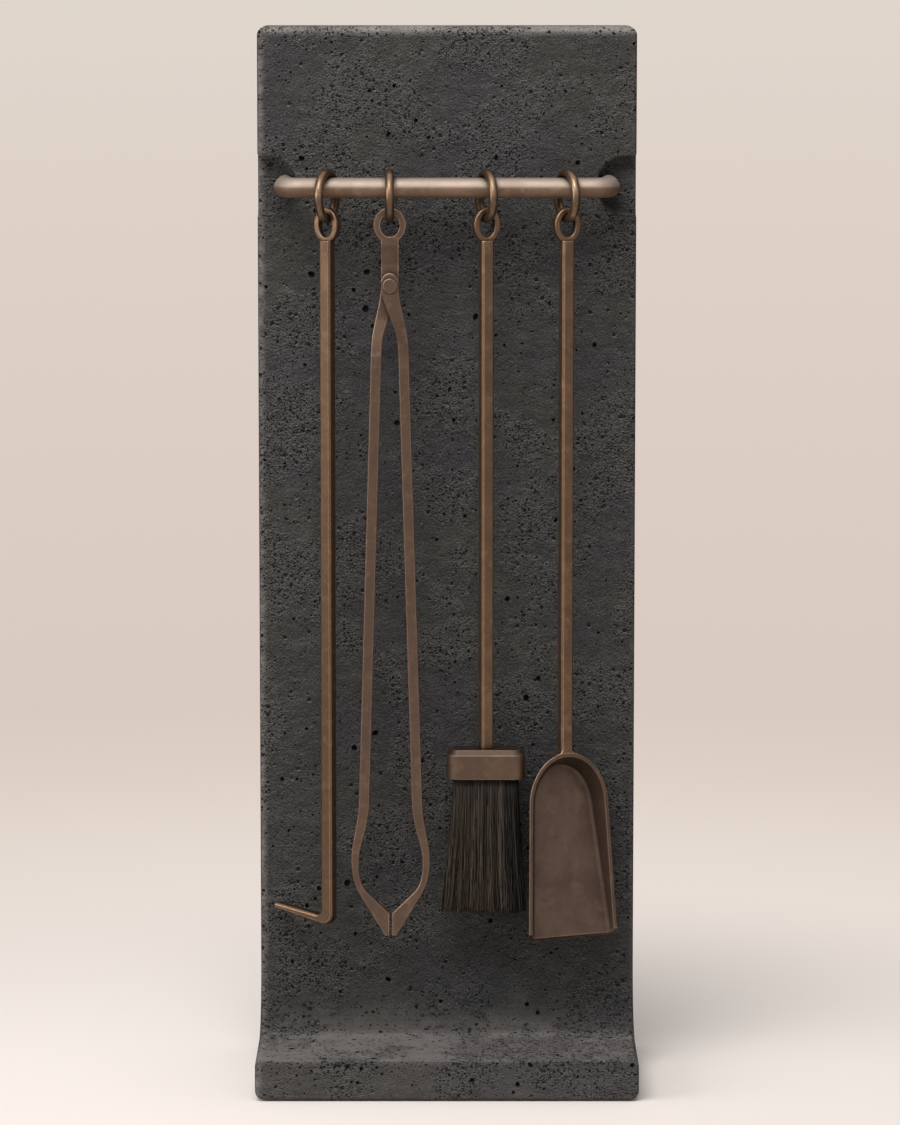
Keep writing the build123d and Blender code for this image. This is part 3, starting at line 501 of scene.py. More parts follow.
class Finish(Enum):
    """The finishes, each made once."""

    STONE = CastStone()
    # the inside of a real pore, darkened by painted shade
    PORE = CastStone("stone_in_pore", inside_pore=True)
    BAR = Bronze("bar_bronze", srgb(124, 100, 80), srgb(106, 85, 69), srgb(146, 119, 96), edge=0.0012)
    # a darker copy of the bar finish, as painted shade; its crease shade reaches the slab behind and
    # darkens the rod's side faces
    POKER = Bronze(
        "poker_bronze_shaded", srgb(120, 96, 76), srgb(103, 82, 66), srgb(142, 116, 92), edge=0.0012,
        shut_in=0.06,
    )
    TONGS = Bronze(
        "tongs_bronze", srgb(112, 92, 78), srgb(98, 80, 69), srgb(130, 108, 92), worn=0.0015,
        rubbed=1.0,
    )
    RING = Bronze("ring_bronze", srgb(132, 110, 90), srgb(110, 90, 72), srgb(156, 133, 110), 0.94, 0.36)
    # its paler top is a painted highlight along the rail's upper half
    RAIL = Bronze(
        "rail_bronze", srgb(138, 114, 97), srgb(124, 101, 84), srgb(154, 130, 112), 0.88, 0.62,
        top=srgb(166, 152, 141), turned=(-0.05, 0.25),
    )
    # its painted crease shade reaches 20 mm, which darkens the pan's inner walls
    PAN = Bronze(
        "pan_bronze", srgb(99, 81, 70), srgb(85, 70, 61), srgb(113, 93, 78), 0.88, 0.44, 30.0,
        worn=0.0015, rubbed=1.0, shut_in=0.02,
    )
    # its darker top is painted shade on the ferrule's top and chamfer
    FERRULE = Bronze(
        "ferrule_bronze", srgb(112, 92, 77), srgb(96, 79, 67), srgb(128, 106, 87), 0.88, 0.4, 40.0,
        worn=0.0014, rubbed=1.0, top=srgb(80, 69, 62),
    )
    RUBBER = Plain("black_rubber", srgb(34, 34, 34), srgb(24, 24, 24), 0.0, 0.8, 600.0)
    ZINC = Plain("zinc_plate", srgb(168, 168, 164), srgb(140, 140, 138), 0.9, 0.4, 300.0)
    WOOD = Plain("beech", srgb(176, 146, 108), srgb(146, 116, 82), 0.0, 0.6, 120.0)
    FIBRE = Fibre()

    @property
    def material(self) -> bpy.types.Material:
        """The finish's material, made the first time that it is asked for."""
        return bpy.data.materials.get(self.value.name) or self.value.material()


def dress(names: list[str], finish: Finish) -> None:
    """Gives CAD pieces a finish.

    Args:
        names: the nodes.
        finish: what they get.
    """
    for name in names:
        piece = NODES[name]
        piece.data.materials.clear()
        piece.data.materials.append(finish.material)
    LOG.info("dressed %s in %s", ", ".join(names), finish.name.lower())


# ---- mesh building
def new_piece(
    name: str, points: Array, faces: list[list[int]], *materials: bpy.types.Material,
) -> bpy.types.Object:
    """Makes an object from points and faces, shaded smooth.

    Args:
        name: the piece's name.
        points: n x 3, in metres.
        faces: lists of point numbers, turned outwards.
        materials: its materials.

    Returns:
        The object, at the origin.
    """
    mesh = bpy.data.meshes.new(name)
    mesh.from_pydata(points.tolist(), [], faces)
    for material in materials:
        mesh.materials.append(material)
    mesh.shade_smooth()
    piece = bpy.data.objects.new(name, mesh)
    bpy.context.scene.collection.objects.link(piece)
    return piece


def read_points(mesh: bpy.types.Mesh) -> Array:
    """Reads a mesh's points.

    Args:
        mesh: the mesh.

    Returns:
        n x 3, in metres.
    """
    flat = np.zeros(len(mesh.vertices) * 3)
    mesh.vertices.foreach_get("co", flat)
    return flat.reshape(-1, 3)


def read_faces(mesh: bpy.types.Mesh) -> list[list[int]]:
    """Reads a mesh's faces.

    Args:
        mesh: the mesh.

    Returns:
        Lists of point numbers.
    """
    corners = np.zeros(len(mesh.loops), np.int32)
    mesh.loops.foreach_get("vertex_index", corners)
    starts = np.zeros(len(mesh.polygons), np.int32)
    mesh.polygons.foreach_get("loop_start", starts)
    return [part.tolist() for part in np.split(corners, starts[1:])]


def circle(sides: int) -> Array:
    """Returns sides points, evenly round, at (cos a, sin a, 0)."""
    angle = np.arange(sides) * (2 * math.pi / sides)
    return np.stack([np.cos(angle), np.sin(angle), np.zeros(sides)], 1)


def wall_faces(rows: int, sides: int, first: int = 0) -> Array:
    """Joins closed rows of points, each next to the one before, with four-sided faces.

    Args:
        rows: how many rows.
        sides: points in a row.
        first: the number of the first point.

    Returns:
        m x 4 point numbers.
    """
    around = np.arange(sides)
    after = (around + 1) % sides
    start = first + np.arange(rows - 1)[:, None] * sides
    corners = [start + around, start + sides + around, start + sides + after, start + after]
    return np.stack(corners, -1).reshape(-1, 4)


def ball_faces(rings: int, sides: int) -> Array:
    """Lists the triangles of one closed ball: a point at each pole and rings of points between.

    Args:
        rings: rings between the poles.
        sides: points in a ring.

    Returns:
        m x 3 point numbers; point 0 is the top pole, then the rings, and the last is the bottom pole.
    """
    around = np.arange(sides)
    after = (around + 1) % sides
    top = np.stack([np.zeros(sides, int), 1 + around, 1 + after], 1)
    walls = wall_faces(rings, sides, 1)
    last = 1 + (rings - 1) * sides
    foot = np.stack([last + around, np.full(sides, last + sides), last + after], 1)
    return np.concatenate([top, walls[:, :3], walls[:, [0, 2, 3]], foot])


# ---- the stand
@dataclass(frozen=True)
class PoreSize:
    """One size of real pore."""

    count: int
    least: float  # the smallest radius
    most: float  # and the largest
    rings: int  # how finely each is made
    sides: int
    wobble: float  # how uneven it is, as a share of its radius
    arris_share: float  # pores on a worn arris, against the open face

    def ball(self) -> Array:
        """Places points on a ball of radius 1 at (sin u cos a, sin u sin a, cos u), from pole to pole.

        Returns:
            n x 3.
        """
        up = np.linspace(0, math.pi, self.rings + 2)[1:-1, None]
        grid = np.sin(up)[..., None] * circle(self.sides)
        grid[..., 2] = np.cos(up)
        return np.vstack([[0, 0, 1], grid.reshape(-1, 3), [0, 0, -1]])


@dataclass
class StoneStand:
    """The cast stone stand: the casting with its pores, and the rubber pads under it."""

    pores: tuple[PoreSize, ...] = (
        PoreSize(190, 0.0014, 0.0030, 6, 12, 0.05, 3.0),
        PoreSize(900, 0.0008, 0.0015, 3, 8, 0.14, 10.0),
        PoreSize(1900, 0.0005, 0.0008, 2, 6, 0.18, 30.0),
    )
    rng: np.random.Generator = field(default_factory=lambda: np.random.default_rng(7))
    spacing: float = 0.0006  # least stone between two pores
    span: float = 1.3  # how far a pore reaches at most, against its radius
    small: float = 1.8  # the higher, the more pores are near the smallest radius
    wildest: float = 1.6  # the wobble's limit, in standard deviations
    squash: Pair = (0.62, 0.38)  # width against length: the least, and what chance adds
    depth: Pair = (0.8, 0.35)  # depth against length, in the same way
    sunk: Pair = (0.1, 0.3)  # how far a middle lies under the skin, in radii
    back_share: float = 0.2  # pores on the back and sides, against the front
    facing: float = 0.3  # least part of a normal forwards or upwards, to count as the front
    slanting: float = 0.15  # least parts of a normal both forwards and upwards, on a worn arris
    downward: float = -0.5  # no pores where a normal's z is below this
    arris_zone: Pair = (-0.09, 0.82)  # they lie before this y or above this z
    bolt_zone: float = 0.019  # no pores this near to a rail leg's axis
    tries: int = 9  # places drawn for each pore, before crowding
    spare: int = 2  # places kept for each pore, after it
    waves: int = 10  # waves that make the crowds
    wave_rate: float = 80.0  # how fast they run, in radians per metre
    wave_phase: float = 6.3  # their largest phase, in radians
    wave_calm: float = 3.2  # what their sum is divided by
    lonely: float = 0.12  # the least chance that a place is kept
    crowding: float = 2.6  # how sharply that chance rises into a crowd
    softness: float = 0.008  # radius of the worn arrises on top and along the foot's front
    rays: tuple[float, ...] = (0.0, 9.0, 18.0, 27.0, 36.0)  # rows of points on a worn arris, in degrees
    slack: float = 1.01  # points this far from its axis, in radii, still count as beside it
    face_band: float = 0.03  # the slab's front face is looked for this near to its top
    weld: float = 2e-6  # points nearer to each other than this are one
    sharp: float = 32.0  # edges that turn by more than this stay sharp, in degrees

    def build(self) -> bpy.types.Object:
        """Makes the casting, dressed and riding on the stand, and dresses the pads.

        Returns:
            The casting.
        """
        casting = self._merged_copy()
        cutter = self._pore_balls(casting)
        cut = casting.modifiers.new("pores", "BOOLEAN")
        cut.operation = "DIFFERENCE"
        cut.solver = "MANIFOLD"
        cut.object = cutter
        bpy.context.view_layer.update()
        evaluated = casting.evaluated_get(bpy.context.evaluated_depsgraph_get())
        mesh = bpy.data.meshes.new_from_object(evaluated)
        casting.modifiers.clear()
        casting.data = mesh
        bpy.data.objects.remove(cutter)
        mesh.shade_smooth()
        mesh.set_sharp_from_angle(angle=math.radians(self.sharp))
        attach(casting, "stand")
        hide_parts("stand_slab")
        mesh.calc_loop_triangles()
        LOG.info("casting: %d triangles", len(mesh.loop_triangles))
        dress([f"base_pad_{number}" for number in range(1, 5)], Finish.RUBBER)
        return casting

    def _merged_copy(self) -> bpy.types.Object:
        """Copies the slab's mesh, closed, with its loose triangles joined and its two arrises worn.

        Rows of points are cut beside both arrises first, r * (1 - tan a) from each face for each ray a.

        Returns:
            The copy.
        """
        joined = bmesh.new()
        joined.from_mesh(NODES["stand_slab"].data)
        bmesh.ops.remove_doubles(joined, verts=joined.verts, dist=self.weld)
        mesh = bpy.data.meshes.new("merged")
        joined.to_mesh(mesh)
        points = read_points(mesh)
        low, high = (np.array(corner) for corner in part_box("stand_slab"))
        face = points[points[:, 2] > high[2] - self.face_band, 1].min()
        foot = points[points[:, 1] < low[1] + self.softness, 2].max()
        cuts = self.softness * (1 - np.tan(np.radians(self.rays)))
        planes = [((0, 0, top - cut), (0, 0, 1)) for cut in cuts for top in (high[2], foot)]
        planes += [((0, front + cut, 0), (0, 1, 0)) for cut in cuts for front in (low[1], face)]
        for middle, way in planes:
            geometry = [*joined.verts, *joined.edges, *joined.faces]
            where = {"plane_co": Vector(middle), "plane_no": Vector(way)}
            bmesh.ops.bisect_plane(joined, geom=geometry, dist=self.weld / 2, **where)
        joined.to_mesh(mesh)
        joined.free()
        points = self._soften(read_points(mesh), low[1], foot)
        points = self._soften(points, face, high[2])
        stone, pore = Finish.STONE.material, Finish.PORE.material
        piece = new_piece("stone_casting", points, read_faces(mesh), stone, pore)
        bpy.data.meshes.remove(mesh)
        return piece

    def _soften(self, points: Array, face: float, top: float) -> Array:
        """Rounds the arris between a front face and the top behind it.

        With c = (face + r, top - r) in y and z, a point within r of both faces goes to
        c + r * (p - c) / |p - c| where it lies further from c than r.

        Args:
            points: n x 3.
            face: y of the front face.
            top: z of the top.

        Returns:
            The moved points.
        """
        r = self.softness
        within = r * self.slack
        out = points[:, 1:] - (face + r, top - r)
        reach = np.linalg.norm(out, axis=1)
        near = (out[:, 0] < 0) & (out[:, 1] > 0) & (reach > r)
        near &= (out[:, 0] > -within) & (out[:, 1] < within)
        moved = points.copy()
        moved[near, 1:] = (face + r, top - r) + out[near] * (r / reach[near])[:, None]
        return moved

    def _sites(self, casting: bpy.types.Object, size: PoreSize) -> tuple[Array, Array]:
        """Picks places on the casting's skin, denser in some patches.

        A place is a random point of a random triangle, with a chance in proportion to the triangle's
        area. It is kept with a chance that a sum of waves sets, so that pores crowd in patches.

        Args:
            casting: the closed copy of the slab.
            size: the pores' size and number.

        Returns:
            The places and the outward normals there.
        """
        mesh = casting.data
        mesh.calc_loop_triangles()
        corners = np.zeros(len(mesh.loop_triangles) * 3, np.int32)
        mesh.loop_triangles.foreach_get("vertices", corners)
        a, b, c = read_points(mesh)[corners.reshape(-1, 3)].transpose(1, 0, 2)
        normal = np.cross(b - a, c - a)
        area = np.linalg.norm(normal, axis=1)
        normal /= np.maximum(area, 1e-12)[:, None]
        weight = area * self._liking(normal, (a + b + c) / 3, size)
        pick = self.rng.choice(len(area), size=size.count * self.tries, p=weight / weight.sum())
        u, v = self.rng.random((2, len(pick), 1))
        fold = u + v > 1
        u, v = np.where(fold, 1 - u, u), np.where(fold, 1 - v, v)
        spots = a[pick] + u * (b - a)[pick] + v * (c - a)[pick]
        waves = self.rng.normal(size=(self.waves, 3)) * self.wave_rate
        phase = self.rng.random(self.waves) * self.wave_phase
        crowd = np.sin(spots @ waves.T + phase).sum(1) / self.wave_calm
        chance = self.lonely + (1 - self.lonely) / (1 + np.exp(-self.crowding * crowd))
        keep = self.rng.random(len(pick)) < chance
        for side in ("left", "right"):
            low, high = (np.array(corner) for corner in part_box(f"rail_nut_{side}"))
            axis = (low + high) / 2
            keep &= np.hypot(spots[:, 0] - axis[0], spots[:, 2] - axis[2]) > self.bolt_zone
        most = size.count * self.spare
        return spots[keep][:most], normal[pick][keep][:most]

    def _liking(self, normal: Array, middle: Array, size: PoreSize) -> Array:
        """Says how well pores like each triangle: most at the worn arrises, and not at all underneath.

        Args:
            normal: n x 3, outwards.
            middle: n x 3.
            size: the pores' size.

        Returns:
            Their number for the same area, against the open face.
        """
        forwards, upwards = -normal[:, 1], normal[:, 2]
        front = (forwards > self.facing) | (upwards > self.facing)
        slanted = (forwards > self.slanting) & (upwards > self.slanting)
        arris = slanted & ((middle[:, 1] < self.arris_zone[0]) | (middle[:, 2] > self.arris_zone[1]))
        shown = np.where(front, 1.0, self.back_share) * (upwards > self.downward)
        return shown * np.where(arris, size.arris_share, 1.0)

    def _spaced(self, spots: Array, radius: Array, taken: Array, count: int) -> tuple[list[int], Array]:
        """Picks spots, one after another, that keep clear of each other and of earlier pores.

        Args:
            spots: n x 3.
            radius: the radius of the pore at each.
            taken: m x 4, the middle and the reach of each earlier pore.
            count: how many are wanted.

        Returns:
            The spots' numbers, and taken with the new pores added.
        """
        chosen = []
        for index, spot in enumerate(spots):
            reach = radius[index] * self.span
            apart = np.linalg.norm(taken[:, :3] - spot, axis=1)
            if not (apart < taken[:, 3] + reach + self.spacing).any():
                taken = np.vstack([taken, [*spot, reach]])
                chosen.append(index)
            if len(chosen) == count:
                break
        return chosen, taken

    def _lumps(self, size: PoreSize, spots: Array, normal: Array, radius: Array) -> Array:
        """Shapes the pores of one size as closed lumps that stand half out of the skin.

        Each is a ball, point = middle + r * (1 + wobble) * (x t1 + squash * y t2 + depth * z n), with
        t1 and t2 along the skin, n out of it, and the middle a little below the skin.

        Args:
            size: how each is made.
            spots, normal: n x 3, the places and the outward normals there.
            radius: n radii.

        Returns:
            n x points x 3.
        """
        count, ball = len(spots), size.ball()
        turn = self.rng.normal(size=normal.shape)
        t1 = np.cross(normal, turn)
        t1 /= np.linalg.norm(t1, axis=1)[:, None]
        t2 = np.cross(normal, t1)
        bumps = self.rng.normal(size=(count, len(ball), 1)).clip(-self.wildest, self.wildest)
        wobble = 1 + size.wobble * bumps
        squash = self.squash[0] + self.squash[1] * self.rng.random((count, 1, 1))
        depth = self.depth[0] + self.depth[1] * self.rng.random((count, 1, 1))
        sunk = radius * (self.sunk[0] + self.sunk[1] * self.rng.random(count))
        middle = spots - normal * sunk[:, None]
        x, y, z = (ball[None, :, axis, None] for axis in range(3))
        shape = x * t1[:, None] + squash * y * t2[:, None] + depth * z * normal[:, None]
        return middle[:, None] + radius[:, None, None] * wobble * shape

    def _pore_balls(self, casting: bpy.types.Object) -> bpy.types.Object:
        """Makes all the pores of all sizes, the widest first.

        Args:
            casting: the closed copy of the slab.

        Returns:
            One object of separate closed lumps.
        """
        taken = np.zeros((0, 4))
        all_points, all_faces, start = [], [], 0
        for size in self.pores:
            spots, normal = self._sites(casting, size)
            chance = self.rng.random(len(spots)) ** self.small
            radius = size.least + (size.most - size.least) * chance
            chosen, taken = self._spaced(spots, radius, taken, size.count)
            lumps = self._lumps(size, spots[chosen], normal[chosen], radius[chosen])
            count, corners = lumps.shape[:2]
            shift = start + np.arange(count)[:, None, None] * corners
            all_faces.append((ball_faces(size.rings, size.sides)[None] + shift).reshape(-1, 3))
            all_points.append(lumps.reshape(-1, 3))
            start += count * corners
        points, faces = np.concatenate(all_points), np.concatenate(all_faces)
        stone, pore = Finish.STONE.material, Finish.PORE.material
        cutter = new_piece("pore_cutter", points, faces.tolist(), stone, pore)
        cutter.data.polygons.foreach_set("material_index", np.ones(len(faces), np.int32))
        return cutter


# ---- the metal pieces
@dataclass
class Metalwork:
    """The rail with its fixings, the rings, and the rigid pieces of the tools."""

    tools: tuple[str, ...] = ("poker", "tongs", "brush", "shovel")

    def build(self) -> None:
        """Dresses every rigid piece."""
        sides = ("left", "right")
        dress(["rail"], Finish.RAIL)
        dress([f"rail_{part}_{side}" for part in ("washer", "nut") for side in sides], Finish.ZINC)
        dress([f"{tool}_ring" for tool in self.tools], Finish.RING)
        dress(["poker_rod"], Finish.POKER)
        dress(["poker_eye", "brush_eye", "brush_rod", "shovel_eye", "shovel_rod"], Finish.BAR)
        dress(["tongs_fixed_arm", "tongs_free_arm", "tongs_rivet", "tongs_washer"], Finish.TONGS)
        dress(["brush_ferrule"], Finish.FERRULE)
        dress(["brush_nut"], Finish.ZINC)
        dress(["brush_block"], Finish.WOOD)
        dress(["shovel_pan"], Finish.PAN)


# ---- the brush's bristles
@dataclass
class Bristles:
    """The brush's bristles, strand by strand, gathered in loose locks."""

    rng: np.random.Generator = field(default_factory=lambda: np.random.default_rng(11))
    strands: int = 3500
    locks: int = 46
    radius: float = 0.00037
    tip_share: float = 0.7  # a tip's radius, against the strand's
    end_share: float = 0.4  # and how far its very end draws in again
    stations: int = 8  # points along a strand
    sides: int = 3
    root_half: Pair = (0.0255, 0.0095)  # half the oblong that the roots fill
    solid_half: Pair = (0.0252, 0.0095)  # half the CAD solid's, under the ferrule
    tuck: float = 0.004  # how far the roots reach up into the ferrule
    inset: float = 0.97  # the tips' spread, against the CAD solid's
    pull: float = 0.5  # how far a strand leans to its lock's middle at the tip
    ragged: float = 0.0035  # how much shorter the shortest tips are
    stray: float = 0.0022  # how far a strand's tip strays on its own
    wildest: float = 1.5  # the stray's limit, in standard deviations
    flare: float = 0.0055  # how far the outermost tips on the free side stand out
    free_side: float = 0.6  # the flare starts at this share of the half width
    wave: float = 0.0009  # how far a strand sways
    wave_rate: float = 5.0  # and how fast, in radians along the strand
    shoulder: float = 0.985  # where along a strand its end starts to draw in
    thickness: Pair = (0.7, 0.6)  # in mean radii: the least, and what chance adds
    clear: float = 1.6  # how far a path keeps inside the CAD solid in y, in radii
    jitter: float = 0.01  # noise on evenly spread places
    rounding: Pair = (0.12, 8)  # how far an oblong's corners draw in, and how sharply
    tone_mean: float = 0.24
    tone_own: float = 0.27  # spread from strand to strand
    tone_lock: float = 0.2  # and from lock to lock
    pale: Pair = (0.05, 1.3)  # the share of pale strands, and their tone
    core_shade: float = 0.35  # painted shade: the tone of the innermost strands, against the outermost

    def build(self) -> bpy.types.Object:
        """Makes the bristles, dressed and riding on the brush.

        Returns:
            The bristles.
        """
        low, high = (np.array(corner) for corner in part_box("brush_bristles"))
        middle, half = (low + high) / 2, (high - low)[:2] / 2
        root = self._spread(self.strands, self.root_half)
        tip, nearest = self._tips(root, low[:2] - middle[:2], half)
        lock_drop = self.rng.random(self.locks) ** 2 * self.ragged
        end_z = low[2] + lock_drop[nearest] + self.rng.random(self.strands) ** 2 * self.ragged
        t = np.append(np.linspace(0, self.shoulder, self.stations - 1), 1.0)
        path = self._paths(root, tip, end_z, t, middle)
        reach = self.root_half[1] + (half[1] - self.root_half[1]) * t - self.radius * self.clear
        path[..., 1] = np.clip(path[..., 1], middle[1] - reach, middle[1] + reach)
        least, more = self.thickness
        width = self.radius * (least + more * self.rng.random((self.strands, 1)))
        width = width * (1 - (1 - self.tip_share) * t ** 3) * np.where(t == 1.0, self.end_share, 1.0)
        piece = self._strand_mesh(path, width, self._tones(root, nearest))
        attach(piece, "brush")
        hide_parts("brush_bristles")
        LOG.info("bristles: %d strands, %d faces", self.strands, len(piece.data.polygons))
        return piece

    def _spread(self, count: int, half: Pair | Array) -> Array:
        """Spreads points evenly over an oblong with round corners.

        Point k is at the share (k + 0.5) / count of one side and at k times the golden ratio, less its
        whole part, of the other, with a little noise.

        Args:
            count: how many.
            half: half the oblong's sides.

        Returns:
            count x 2 places about the middle.
        """
        k = np.arange(count)
        u = (k * GOLDEN) % 1 * 2 - 1
        v = (k + 0.5) / count * 2 - 1
        places = np.stack([v, u], 1) + self.rng.normal(size=(count, 2)) * self.jitter
        places = places.clip(-1, 1)
        corner = 1 - self.rounding[0] * np.abs(places[:, ::-1]) ** self.rounding[1]
        return places * corner * half

    def _tips(self, root: Array, low: Array, half: Array) -> tuple[Array, Array]:
        """Places the tips: spread like the roots, drawn to the nearest lock, flared on the free side.

        Args:
            root: strands x 2.
            low: the CAD solid's low corner, from its middle.
            half: half its size.

        Returns:
            strands x 2 places about the middle, and the number of each strand's lock.
        """
        tip = root * (half / self.solid_half) * self.inset
        lock = self._spread(self.locks, half)
        nearest = np.linalg.norm(tip[:, None] - lock[None], axis=2).argmin(1)
        tip += (lock[nearest] - tip) * self.pull * self.rng.random((self.strands, 1))
        tip += self.rng.normal(size=tip.shape).clip(-self.wildest, self.wildest) * self.stray
        edge = np.clip(-root[:, 0] / self.root_half[0] - self.free_side, 0, 1) / (1 - self.free_side)
        tip[:, 0] -= self.flare * edge * self.rng.random(self.strands) ** 1.5
        return np.clip(tip, low - (self.flare, 0.0), half), nearest

    def _paths(self, root: Array, tip: Array, end_z: Array, t: Array, middle: Array) -> Array:
        """Runs every strand from its root to its tip: across by root + (tip - root) * t ** 1.25 + sway.

        The sway is a sine of t with its own rate and phase, and grows with t.

        Args:
            root, tip: strands x 2, about the middle.
            end_z: the height of each tip.
            t: the stations, 0 at the root and 1 at the tip.
            middle: the middle of the CAD solid.

        Returns:
            strands x stations x 3.
        """
        start_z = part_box("brush_ferrule")[0][2] + self.tuck
        lean = t ** 1.25
        phase, turns = self.rng.random((2, self.strands, 1)) * math.tau
        swing = np.sin(t * self.wave_rate * (0.5 + turns) + phase)[:, None]
        sway = self.wave * self.rng.normal(size=(self.strands, 2, 1)) * swing * t
        return np.stack([
            middle[0] + root[:, :1] + (tip - root)[:, :1] * lean + sway[:, 0],
            middle[1] + root[:, 1:] + (tip - root)[:, 1:] * lean + sway[:, 1],
            start_z + (end_z[:, None] - start_z) * t,
        ], -1)

    def _tones(self, root: Array, nearest: Array) -> Array:
        """Picks the strands' tones, by strand and by lock, a few of them pale, and the inner ones
        darkened as painted shade.

        Args:
            root: strands x 2.
            nearest: the number of each strand's lock.

        Returns:
            One value for each strand.
        """
        own, shared = self.rng.normal(size=self.strands), self.rng.normal(size=self.locks)[nearest]
        tone = np.clip(self.tone_mean + self.tone_own * own + self.tone_lock * shared, 0, 1)
        tone = np.where(self.rng.random(self.strands) < self.pale[0], self.pale[1], tone)
        # painted shade: the inner strands are darker than the outer ones
        outer = np.max(np.abs(root) / self.root_half, axis=1)
        return tone * (self.core_shade + (1 - self.core_shade) * outer ** 4)

    def _strand_mesh(self, path: Array, width: Array, tone: Array) -> bpy.types.Object:
        """Skins every strand: point = path + width * (cos a, sin a, 0), closed at both ends.

        Args:
            path: strands x stations x 3.
            width: strands x stations, the strand's radius.
            tone: one value for each strand.

        Returns:
            One object with a tone attribute.
        """
        stations, sides = self.stations, self.sides
        points = path[:, :, None] + width[:, :, None, None] * circle(sides)
        around = np.arange(sides)
        shift = (np.arange(len(path)) * stations * sides)[:, None, None]
        faces = (wall_faces(stations, sides)[None] + shift).reshape(-1, 4).tolist()
        for end in (around, (stations - 1) * sides + around[::-1]):
            faces += (end[None, None] + shift).reshape(-1, sides).tolist()
        piece = new_piece("bristle_strands", points.reshape(-1, 3), faces, Finish.FIBRE.material)
        layer = piece.data.attributes.new("tone", "FLOAT", "POINT")
        along = 0.8 + 0.45 * np.linspace(0, 1, stations) ** 1.5
        tones = np.repeat(tone[:, None] * along, sides, axis=1).ravel()
        layer.data.foreach_set("value", tones.astype(np.float32))
        return piece


# ---- the studio
@dataclass(frozen=True)
class Lamp:
    """A soft oblong lamp."""

    name: str
    at: Point
    width: float
    height: float
    watts: float
    aim: Point = (0.0, 0.0, 0.4)
    tone: Colour = (1.0, 0.985, 0.97)

    def build(self) -> None:
        """Adds the lamp, turned towards what it points at."""
        data = bpy.data.lights.new(self.name, "AREA")
        data.shape = "RECTANGLE"
        data.size, data.size_y = self.width, self.height
        data.energy = self.watts
        data.color = self.tone
        lamp = bpy.data.objects.new(self.name, data)
        lamp.location = self.at
        way = Vector(self.aim) - Vector(self.at)
        lamp.rotation_euler = way.to_track_quat("-Z", "Y").to_euler()
        bpy.context.scene.collection.objects.link(lamp)


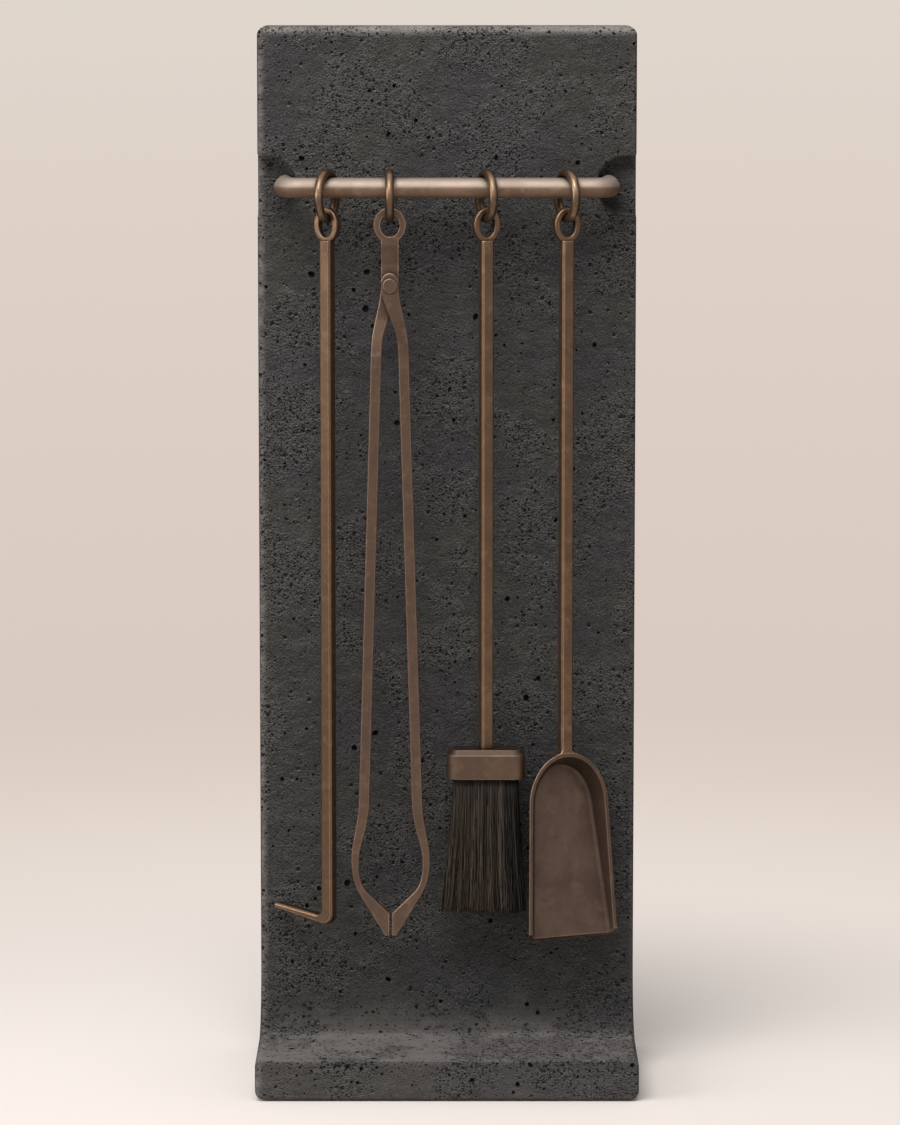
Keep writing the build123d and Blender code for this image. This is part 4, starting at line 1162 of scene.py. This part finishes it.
@dataclass
class Studio:
    """A pale floor that runs out into a pale surround, soft lamps, and the camera."""

    lens: float = 160.0  # millimetres, on a sensor of this width
    sensor: float = 36.0
    camera_at: Point = (0.0024, -3.9185, 0.9067)
    camera_dip: float = 7.2  # degrees below the horizon
    lamps: tuple[Lamp, ...] = (
        Lamp("top_lamp", (-0.5, -1.5, 2.5), 1.8, 1.2, 50.0),
        Lamp("left_lamp", (-2.7, -1.35, 1.3), 2.0, 1.5, 36.0),
    )
    floor_near: Colour = srgb(247, 239, 234)
    surround: Colour = srgb(223, 212, 203)
    floor_tones: tuple[tuple[float, Colour], ...] = (  # distance from the middle, tone seen there
        (0.3, srgb(241, 231, 224)), (0.58, srgb(236, 225, 218)), (1.0, srgb(230, 219, 210)),
        (1.45, srgb(222, 208, 199)), (1.95, srgb(216, 202, 193)), (4.5, srgb(219, 205, 196)),
        (12.0, srgb(222, 209, 200)), (40.0, srgb(224, 214, 204)),
    )
    floor_reaches: tuple[float, ...] = (0.6, 1.2, 2.5, 6.0, 20.0, 70.0)
    floor_sides: int = 64
    tone_start: float = 0.25  # the tones' scale runs by ratio, from here
    tone_span: float = 400.0  # to this many times as far
    lit_floor: Pair = (0.24, 0.85)  # where the lamps' light on it runs out
    ambient: float = 0.45  # how bright the surround is as light
    ambient_tone: Colour = (1.0, 0.98, 0.96)
    glow_front: float = 0.7  # how bright the floor is in reflections, in front
    glow_side: float = 0.05  # and at the sides
    glow_up: float = 1.2  # and above the horizon, in front and overhead

    def build(self) -> None:
        """Makes the floor, the surround, the lamps and the camera."""
        self._floor()
        self._world()
        for lamp in self.lamps:
            lamp.build()
        self._camera()
        LOG.info("studio: floor, surround, camera and %d lamps", len(self.lamps))

    def _floor(self) -> None:
        """Makes the floor: rings of points at r * (cos a, sin a, 0), joined into a disc."""
        reaches, sides = np.array(self.floor_reaches), self.floor_sides
        rings = (reaches[:, None, None] * circle(sides)).reshape(-1, 3)
        points = np.concatenate([np.zeros((1, 3)), rings])
        around = np.arange(sides)
        faces = np.stack([np.zeros(sides, int), 1 + around, 1 + (around + 1) % sides], 1).tolist()
        faces += wall_faces(len(reaches), sides, 1).tolist()
        floor = new_piece("floor", points, faces, self._floor_material())

    def _floor_material(self) -> bpy.types.Material:
        """Makes the floor's finish: matt near the stand, and the surround's own tones further out.

        Returns:
            The material.
        """
        s = Shader.for_material("studio_floor")
        place = s.place()
        reach = s.add("VectorMath", {"operation": "LENGTH"}, i0=place).outputs["Value"]
        share = s.math("MAXIMUM", s.math("DIVIDE", reach, self.tone_start), 1.0)
        tone = s.add("ValToRGB", Fac=s.math("LOGARITHM", share, self.tone_span))
        stops = tone.color_ramp.elements
        while len(stops) < len(self.floor_tones):
            stops.new(0.5)
        for stop, (distance, colour) in zip(stops, self.floor_tones):
            stop.position = math.log(distance / self.tone_start, self.tone_span)
            stop.color = (*colour, 1.0)
        rays = s.add("LightPath").outputs
        seen = s.math("ADD", rays["Is Camera Ray"], rays["Is Transmission Ray"])
        away = s.add("VectorMath", {"operation": "NORMALIZE"}, i0=place).outputs[0]
        front = s.ramp(s.parts(away)[1], -0.65, -0.05, self.glow_front, self.glow_side)
        strength = s.math("MAXIMUM", seen, s.math("MULTIPLY", rays["Is Glossy Ray"], front))
        matt = s.add("BsdfDiffuse", Color=(*self.floor_near, 1.0)).outputs[0]
        glow = s.add("Emission", Color=tone.outputs[0], Strength=strength).outputs[0]
        lit = s.math("MAXIMUM", seen, rays["Is Glossy Ray"])
        share = s.math("MULTIPLY", lit, s.ramp(reach, *self.lit_floor))
        return s.end(s.add("MixShader", Fac=share, i1=matt, i2=glow).outputs[0])

    def _world(self) -> None:
        """Makes the surround: its full tone to the camera, and a plain soft light for everything else.

        In reflections it is bright above the horizon, in front and overhead, and dim elsewhere.
        """
        s = Shader(bpy.data.worlds.new("surround"), "OutputWorld")
        rays = s.add("LightPath").outputs
        heading = s.parts(s.add("TexCoord").outputs["Generated"])
        rise = s.ramp(heading[2], -0.02, 0.14, 0.0, self.glow_up, "LINEAR")
        ahead = s.ramp(heading[1], 0.05, -0.6, 0.06, 1.0, "LINEAR")
        overhead = s.ramp(heading[2], 0.45, 0.85, 0.0, 1.0, "LINEAR")
        lit = s.math("MULTIPLY", rise, s.math("MAXIMUM", ahead, overhead))
        shown = s.math("MAXIMUM", lit, self.glow_side)
        light = s.add("Mix", i0=rays["Is Glossy Ray"], i2=self.ambient, i3=shown).outputs[0]
        strength = s.add("Mix", i0=rays["Is Camera Ray"], i2=light, i3=1.0).outputs[0]
        tone = s.mix(rays["Is Camera Ray"], self.ambient_tone, self.surround)
        background = s.add("Background", Color=tone, Strength=strength)
        bpy.context.scene.world = s.end(background.outputs[0])

    def _camera(self) -> None:
        """Adds the camera."""
        data = bpy.data.cameras.new("camera")
        data.lens = self.lens
        data.sensor_width = self.sensor
        camera = bpy.data.objects.new("camera", data)
        camera.location = self.camera_at
        camera.rotation_euler = (math.radians(90 - self.camera_dip), 0, 0)
        bpy.context.scene.collection.objects.link(camera)
        bpy.context.scene.camera = camera


def main() -> None:
    """Builds and dresses the whole set."""
    logging.basicConfig(level=logging.INFO, format="%(name)s: %(message)s")
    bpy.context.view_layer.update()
    bpy.context.scene.view_settings.view_transform = "Standard"
    StoneStand().build()
    Metalwork().build()
    Bristles().build()
    Studio().build()


if __name__ == "__main__":
    main()
